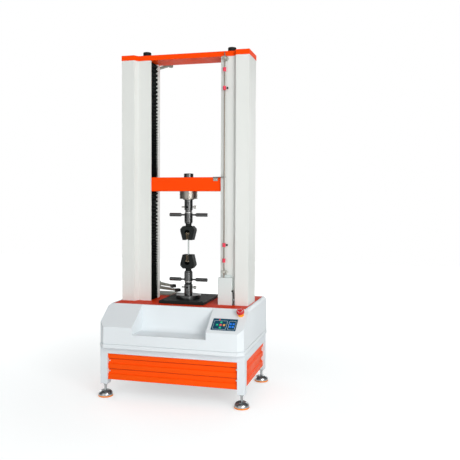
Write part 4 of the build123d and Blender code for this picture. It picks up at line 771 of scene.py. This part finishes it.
# Set screws that hold the cross pins, one in the front of each adapter
set_screw = model_cylinder(0.0052, 0.003, (0, 0, 0.0012), 28)
round_edges(set_screw, on_top, 0.0006, 2)
cut_out(set_screw, model_cylinder(0.0032, 0.004, (0, 0, 0.0023), 6))
settle(set_screw, "set_screw_model", matt_black)
for place, mouth, up, body in GRIPS:
    spot = facing((0, LOAD_Y - ADAPTER_RADIUS, mouth + up * MOUTH_TO_PIN), (0, -1, 0), 0.4)
    copy_to(set_screw, f"{place}_pin_set_screw", spot, body)

# Wedge springs: a fine brass coil over the jaws, each half held by its own jaw
SPRING_TURNS = 6
SPRING_PITCH = 0.0016
SPRING_GAP = 0.0002
SPRING_Y = LOAD_Y - 0.0145


def model_half_coil(turns, pitch, coil, wire):
    """Half a tension spring along X, from a wire section screwed round its axis."""
    bpy.ops.object.select_all(action="DESELECT")
    bpy.ops.mesh.primitive_circle_add(vertices=8, radius=wire, location=(0, coil, 0))
    half = bpy.context.object
    bpy.ops.object.transform_apply(location=True, rotation=True, scale=True)
    turn = half.modifiers.new("turn", "SCREW")
    turn.axis = "X"
    turn.angle = 2 * math.pi
    turn.screw_offset = pitch
    turn.iterations = turns
    turn.steps = 14
    turn.render_steps = 14
    turn.use_normal_calculate = True
    apply_all(half)
    return settle(half, "half_coil_model", brass_wire, 1.0)


half_coil = model_half_coil(SPRING_TURNS, SPRING_PITCH, 0.0022, 0.00055)
for place, mouth, up, body in GRIPS:
    for hand, start in (("left", -SPRING_TURNS * SPRING_PITCH - SPRING_GAP), ("right", SPRING_GAP)):
        spot = Matrix.Translation((start, SPRING_Y, mouth + up * MOUTH_TO_SPRING))
        copy_to(half_coil, f"{place}_{hand}_jaw_spring", spot, f"{place}_{hand}_jaw")

# Console: everything on the panel is placed along its slope
SLOPE = Matrix.Translation(SLOPE_FOOT) @ Matrix.Rotation(SLOPE_ANGLE, 4, "X")
FILM_TOP = 0.002
KEY_TOP = 0.003
PRINT = 0.0003
FRAME_ALONG = 0.0555
JOG = (-0.0185, 0.0555)
JOG_STEP = 0.018
FUNCTION_ACROSS = (0.0325, 0.0475)
FUNCTION_ALONG = (0.0655, 0.0465)
LAMP = (-0.0300, 0.0905)
STOP_BUTTON = (0.071, 0.133, 0.0313)


def on_slope(across, along, up, turn=0.0):
    return SLOPE @ Matrix.Translation((across, along, up)) @ Matrix.Rotation(turn, 4, "Z")


def model_frame(width, height, line, corner, name):
    """A printed frame line with round corners, a film's thickness high."""
    bpy.ops.object.select_all(action="DESELECT")
    bpy.ops.mesh.primitive_plane_add(size=1, location=(0, 0, 0))
    outline = bpy.context.object
    outline.scale = (width, height, 1)
    bpy.ops.object.transform_apply(location=False, rotation=False, scale=True)
    bpy.ops.object.mode_set(mode="EDIT")
    bpy.ops.mesh.select_all(action="SELECT")
    bpy.ops.mesh.bevel(offset=corner, segments=5, affect="VERTICES")
    bpy.ops.object.mode_set(mode="OBJECT")
    pick_faces(outline, lambda centre, normal: True)
    bpy.ops.mesh.inset(thickness=line)
    bpy.ops.mesh.delete(type="FACE")
    bpy.ops.object.mode_set(mode="OBJECT")
    skin = outline.modifiers.new("skin", "SOLIDIFY")
    skin.thickness = 0.00025
    skin.offset = 1
    apply_all(outline)
    return settle(outline, name, print_white)


def model_sign(corners, radius, name, finish, squash=1.0):
    """A small flat sign with a few corners, a film's thickness high."""
    sign = model_cylinder(radius, PRINT, (0, 0, PRINT / 2), corners)
    sign.scale = (1, squash, 1)
    inset_faces(sign, on_top, radius * 0.08)
    return settle(sign, name, finish)


def model_ring_arrow(radius, width, start, end, name):
    """A part of a flat ring with an arrow head at its end, as on a button that is turned to free it."""
    ring = model_cylinder(radius, PRINT, (0, 0, PRINT / 2), 48)
    pick_faces(ring, on_top)
    bpy.ops.mesh.inset(thickness=width)
    bpy.ops.mesh.delete(type="FACE")
    bpy.ops.object.mode_set(mode="OBJECT")

    def outside_arrow(centre, normal):
        return normal.z < 0.9 or not start < math.atan2(centre.y, centre.x) < end

    pick_faces(ring, outside_arrow)
    bpy.ops.mesh.delete(type="FACE")
    bpy.ops.object.mode_set(mode="OBJECT")
    skin = ring.modifiers.new("skin", "SOLIDIFY")
    skin.thickness = PRINT
    apply_all(ring)
    middle = radius - width / 2
    tip_place = (middle * math.cos(end), middle * math.sin(end), PRINT / 2)
    tip = model_cylinder(width * 1.35, PRINT, tip_place, 3, (0, 0, end))
    return settle(join_pieces([ring, tip]), name, print_white)


jog_frame = model_frame(0.070, 0.060, 0.0013, 0.005, "jog_frame_model")
function_frame = model_frame(0.036, 0.060, 0.0013, 0.005, "function_frame_model")
copy_to(jog_frame, "jog_frame", on_slope(-0.0214, FRAME_ALONG, FILM_TOP), "root")
copy_to(function_frame, "function_frame", on_slope(0.0404, FRAME_ALONG, FILM_TOP), "root")
lamp_lens = model_cylinder(0.0040, 0.0014, (0, 0, 0.0007), 24)
round_edges(lamp_lens, on_top, 0.0009, 3)
settle(lamp_lens, "lamp_lens_model", key_red)
copy_to(lamp_lens, "power_lamp", on_slope(*LAMP, FILM_TOP), "root")

triangle = model_sign(3, 0.0020, "triangle_model", key_print)
square = model_sign(4, 0.0019, "square_model", key_print)
disc = model_sign(24, 0.0014, "disc_model", key_print)
bar_sign = model_sign(4, 0.0022, "bar_sign_model", key_print, 0.35)
for key, sign, across, along, turn in (
    ("jog_up_key", triangle, JOG[0], JOG[1] + JOG_STEP, 0.0),
    ("jog_down_key", triangle, JOG[0], JOG[1] - JOG_STEP, math.pi),
    ("start_key", triangle, JOG[0] - JOG_STEP, JOG[1], -math.pi / 2),
    ("stop_key", square, JOG[0], JOG[1], math.pi / 4),
    ("return_key", disc, JOG[0] + JOG_STEP, JOG[1], 0.0),
    ("function_key_1", disc, FUNCTION_ACROSS[0], FUNCTION_ALONG[0], 0.0),
    ("function_key_2", triangle, FUNCTION_ACROSS[1], FUNCTION_ALONG[0], 0.0),
    ("function_key_3", bar_sign, FUNCTION_ACROSS[0], FUNCTION_ALONG[1], 0.0),
    ("function_key_4", square, FUNCTION_ACROSS[1], FUNCTION_ALONG[1], math.pi / 4),
):
    copy_to(sign, f"{key}_sign", on_slope(across, along, KEY_TOP, turn), key)

turn_arrow = model_ring_arrow(0.0132, 0.0019, -1.2, 0.3, "turn_arrow_model")
for i in range(3):
    copy_to(turn_arrow, f"estop_arrow_{i + 1}", on_slope(*STOP_BUTTON, 2 * math.pi * i / 3), "estop_head")

# Extensometer: clip tips, thumb screws and carriage locks
PAD_LENGTH = 0.026
PAD_APART = 0.0064
PAD_BACK = 0.004
SCREW_BACK = 0.019
LEVER_FORWARD = 0.019


def along_arm(length, angle, height, up=0.0, across=0.0):
    """A place on an arm, measured from the mast."""
    turn = Matrix.Rotation(math.radians(angle), 4, "Z")
    return Matrix.Translation((*MAST, height)) @ turn @ Matrix.Translation((length, across, up))


thumb_screw = model_cylinder(0.0024, 0.026, (0, 0, 0), 20)
thumb_head = model_cylinder(0.0052, 0.006, (0, 0, 0.014), 20)
round_edges(thumb_head, on_both_ends, 0.0012, 2)
settle(join_pieces([thumb_screw, thumb_head]), "thumb_screw_model", plated_screw)

finger_pad = model_block((PAD_LENGTH, 0.007, 0.011), (0, 0, 0))
pick_faces(finger_pad, on_right)
bpy.ops.transform.resize(value=(1, 0.35, 0.6), center_override=(PAD_LENGTH / 2, 0, 0))
bpy.ops.object.mode_set(mode="OBJECT")
corners = finger_pad.modifiers.new("corners", "BEVEL")
corners.width = 0.0012
corners.segments = 2
apply_all(finger_pad)
settle(finger_pad, "finger_pad_model", clip_black)

lock_lever = model_cylinder(0.0040, 0.012, (0, 0, 0.006), 24)
lever_arm = model_block((0.020, 0.0045, 0.004), (0.008, 0, 0.010))
pick_faces(lever_arm, on_right)
bpy.ops.transform.translate(value=(0.003, 0, 0.004))
bpy.ops.transform.resize(value=(1, 0.6, 0.7), center_override=(0.021, 0, 0.014))
bpy.ops.object.mode_set(mode="OBJECT")
settle(join_pieces([lock_lever, lever_arm]), "lock_lever_model", clip_black)

for place, height, length in (("upper", 0.545, 0.186), ("lower", 0.520, 0.198)):
    body = f"extensometer_{place}_arm"
    angle = ARM_ANGLES[place]
    for i, across in enumerate((PAD_APART, -PAD_APART)):
        spot = along_arm(length - PAD_BACK, angle, height, 0, across)
        copy_to(finger_pad, f"{body}_pad_{i + 1}", spot, body)
    upside_down = Matrix.Rotation(math.pi, 4, "X")
    spot = along_arm(length - SCREW_BACK, angle, height, -0.004) @ upside_down
    copy_to(thumb_screw, f"{body}_thumb_screw", spot, body)
    lever_place = (MAST[0], MAST[1] - LEVER_FORWARD, height)
    spot = Matrix.Translation(lever_place) @ Matrix.Rotation(math.pi / 2, 4, "X")
    copy_to(lock_lever, f"{body}_lock_lever", spot, body)

for model in (
    panel_screw, small_screw, plate_screw, clamp_bar, gland, pin_rim, thumb_rim, set_screw, half_coil,
    jog_frame, function_frame, lamp_lens, triangle, square, disc, bar_sign, turn_arrow, thumb_screw,
    finger_pad, lock_lever,
):
    bpy.data.objects.remove(model)

# Camera, light and floor
SENSOR = 36
PICTURE_WIDTH = 460
FOCAL_PIXELS = 618.597
camera_data = bpy.data.cameras.new("camera")
camera_data.sensor_width = SENSOR
camera_data.lens = FOCAL_PIXELS * SENSOR / PICTURE_WIDTH
camera_data.shift_y = -0.02
camera = bpy.data.objects.new("camera", camera_data)
bpy.context.scene.collection.objects.link(camera)
yaw, pitch, roll = math.radians(14.5539), math.radians(-1.9056), math.radians(0.2543)
camera.matrix_world = (
    Matrix.Translation((1.08326, -3.23242, 1.04182))
    @ Matrix.Rotation(yaw, 4, "Z")
    @ Matrix.Rotation(math.pi / 2 + pitch, 4, "X")
    @ Matrix.Rotation(roll, 4, "Z")
)
bpy.context.scene.camera = camera
bpy.context.scene.view_settings.view_transform = "Standard"


def area_lamp(name, place, aim, size, power):
    data = bpy.data.lights.new(name, "AREA")
    data.shape = "RECTANGLE"
    data.size, data.size_y = size
    data.energy = power
    lamp = bpy.data.objects.new(name, data)
    lamp.location = place
    lamp.rotation_euler = (Vector(aim) - Vector(place)).to_track_quat("-Z", "Y").to_euler()
    bpy.context.scene.collection.objects.link(lamp)


area_lamp("key_lamp", (3.2, -3.0, 2.1), (0, 0, 0.9), (1.4, 2.6), 74)
area_lamp("strip_lamp", (1.9, -3.25, 0.95), (0, 0.03, 0.95), (0.4, 1.9), 27)
area_lamp("fill_lamp", (-1.4, -4.4, 1.5), (0, 0, 0.9), (2.6, 2.6), 22)
area_lamp("rear_lamp", (1.0, 4.0, 1.5), (0, 0, 1.0), (3.0, 2.0), 33)
area_lamp("left_rear_lamp", (-3.8, 2.0, 1.4), (0, 0, 1.0), (2.2, 2.2), 40)

world = bpy.data.worlds.new("studio_air")
bpy.context.scene.world = world
world.use_nodes = True
air = world.node_tree
soft_light = air.nodes["Background"]
soft_light.inputs["Color"].default_value = (1, 1, 1, 1)
white_backdrop = air.nodes.new("ShaderNodeBackground")
white_backdrop.inputs["Color"].default_value = (1, 1, 1, 1)
mirrored = air.nodes.new("ShaderNodeBackground")
path = air.nodes.new("ShaderNodeLightPath")
sky = air.nodes.new("ShaderNodeTexCoord")


def toward(direction):
    """How far a direction of the air points the given way, from -1 to 1."""
    dot = air.nodes.new("ShaderNodeVectorMath")
    dot.operation = "DOT_PRODUCT"
    dot.inputs[1].default_value = Vector(direction).normalized()
    air.links.new(sky.outputs["Generated"], dot.inputs[0])
    return dot.outputs["Value"]


def choose_light(factor, otherwise, chosen):
    """One light where the factor is 0, another where it is 1."""
    mix = air.nodes.new("ShaderNodeMixShader")
    air.links.new(factor, mix.inputs[0])
    air.links.new(otherwise, mix.inputs[1])
    air.links.new(chosen, mix.inputs[2])
    return mix.outputs[0]


room = spread(air, toward((0.6, -0.65, -0.35)), 0.2, 0.74, -0.9, 0.9)
air.links.new(room, soft_light.inputs["Strength"])
walls = air.nodes.new("ShaderNodeValToRGB")
walls.color_ramp.interpolation = "EASE"
WALL_LIGHTS = ((0.0, 0.6), (0.14, 0.5), (0.26, 0.14), (0.7, 0.12), (0.82, 0.3), (0.9, 0.8), (1.0, 0.75))
for place, light in WALL_LIGHTS:
    stop = walls.color_ramp.elements[0] if place == 0.0 else walls.color_ramp.elements.new(place)
    stop.position = place
    stop.color = (light, light, light, 1)
walls.color_ramp.elements.remove(walls.color_ramp.elements[-1])
air.links.new(spread(air, toward((0.40, -0.92, 0.0)), 0, 1, -1, 1), walls.inputs["Fac"])
air.links.new(walls.outputs["Color"], mirrored.inputs["Color"])
glossy_or_soft = choose_light(path.outputs["Is Glossy Ray"], soft_light.outputs[0], mirrored.outputs[0])
all_light = choose_light(path.outputs["Is Camera Ray"], glossy_or_soft, white_backdrop.outputs[0])
air.links.new(all_light, air.nodes["World Output"].inputs["Surface"])

bpy.ops.mesh.primitive_plane_add(size=14, location=(0, 0, -0.0005))
floor = bpy.context.object
floor.name = "studio_floor"
bpy.ops.object.transform_apply(location=True, rotation=True, scale=True)
FLOOR_GREY = (0.645, 0.68, 0.685)
floor_paint, floor_tree, floor_shader, floor_place = finish_base("studio_floor_paint", FLOOR_GREY, 0.9)
floor_path = floor_tree.nodes.new("ShaderNodeLightPath")
seen_by = [floor_path.outputs[ray] for ray in ("Is Camera Ray", "Is Glossy Ray")]
floor_seen = work_out(floor_tree, "MAXIMUM", *seen_by)
reach = floor_tree.nodes.new("ShaderNodeVectorMath")
reach.operation = "LENGTH"
floor_tree.links.new(floor_place, reach.inputs[0])
glow = spread(floor_tree, reach.outputs["Value"], 0.5, 0.85, 0.8, 4.5)
floor_shader.inputs["Emission Color"].default_value = (1, 1, 1, 1)
seen_glow = work_out(floor_tree, "MULTIPLY", glow, floor_seen)
floor_tree.links.new(seen_glow, floor_shader.inputs["Emission Strength"])
floor.data.materials.append(floor_paint)
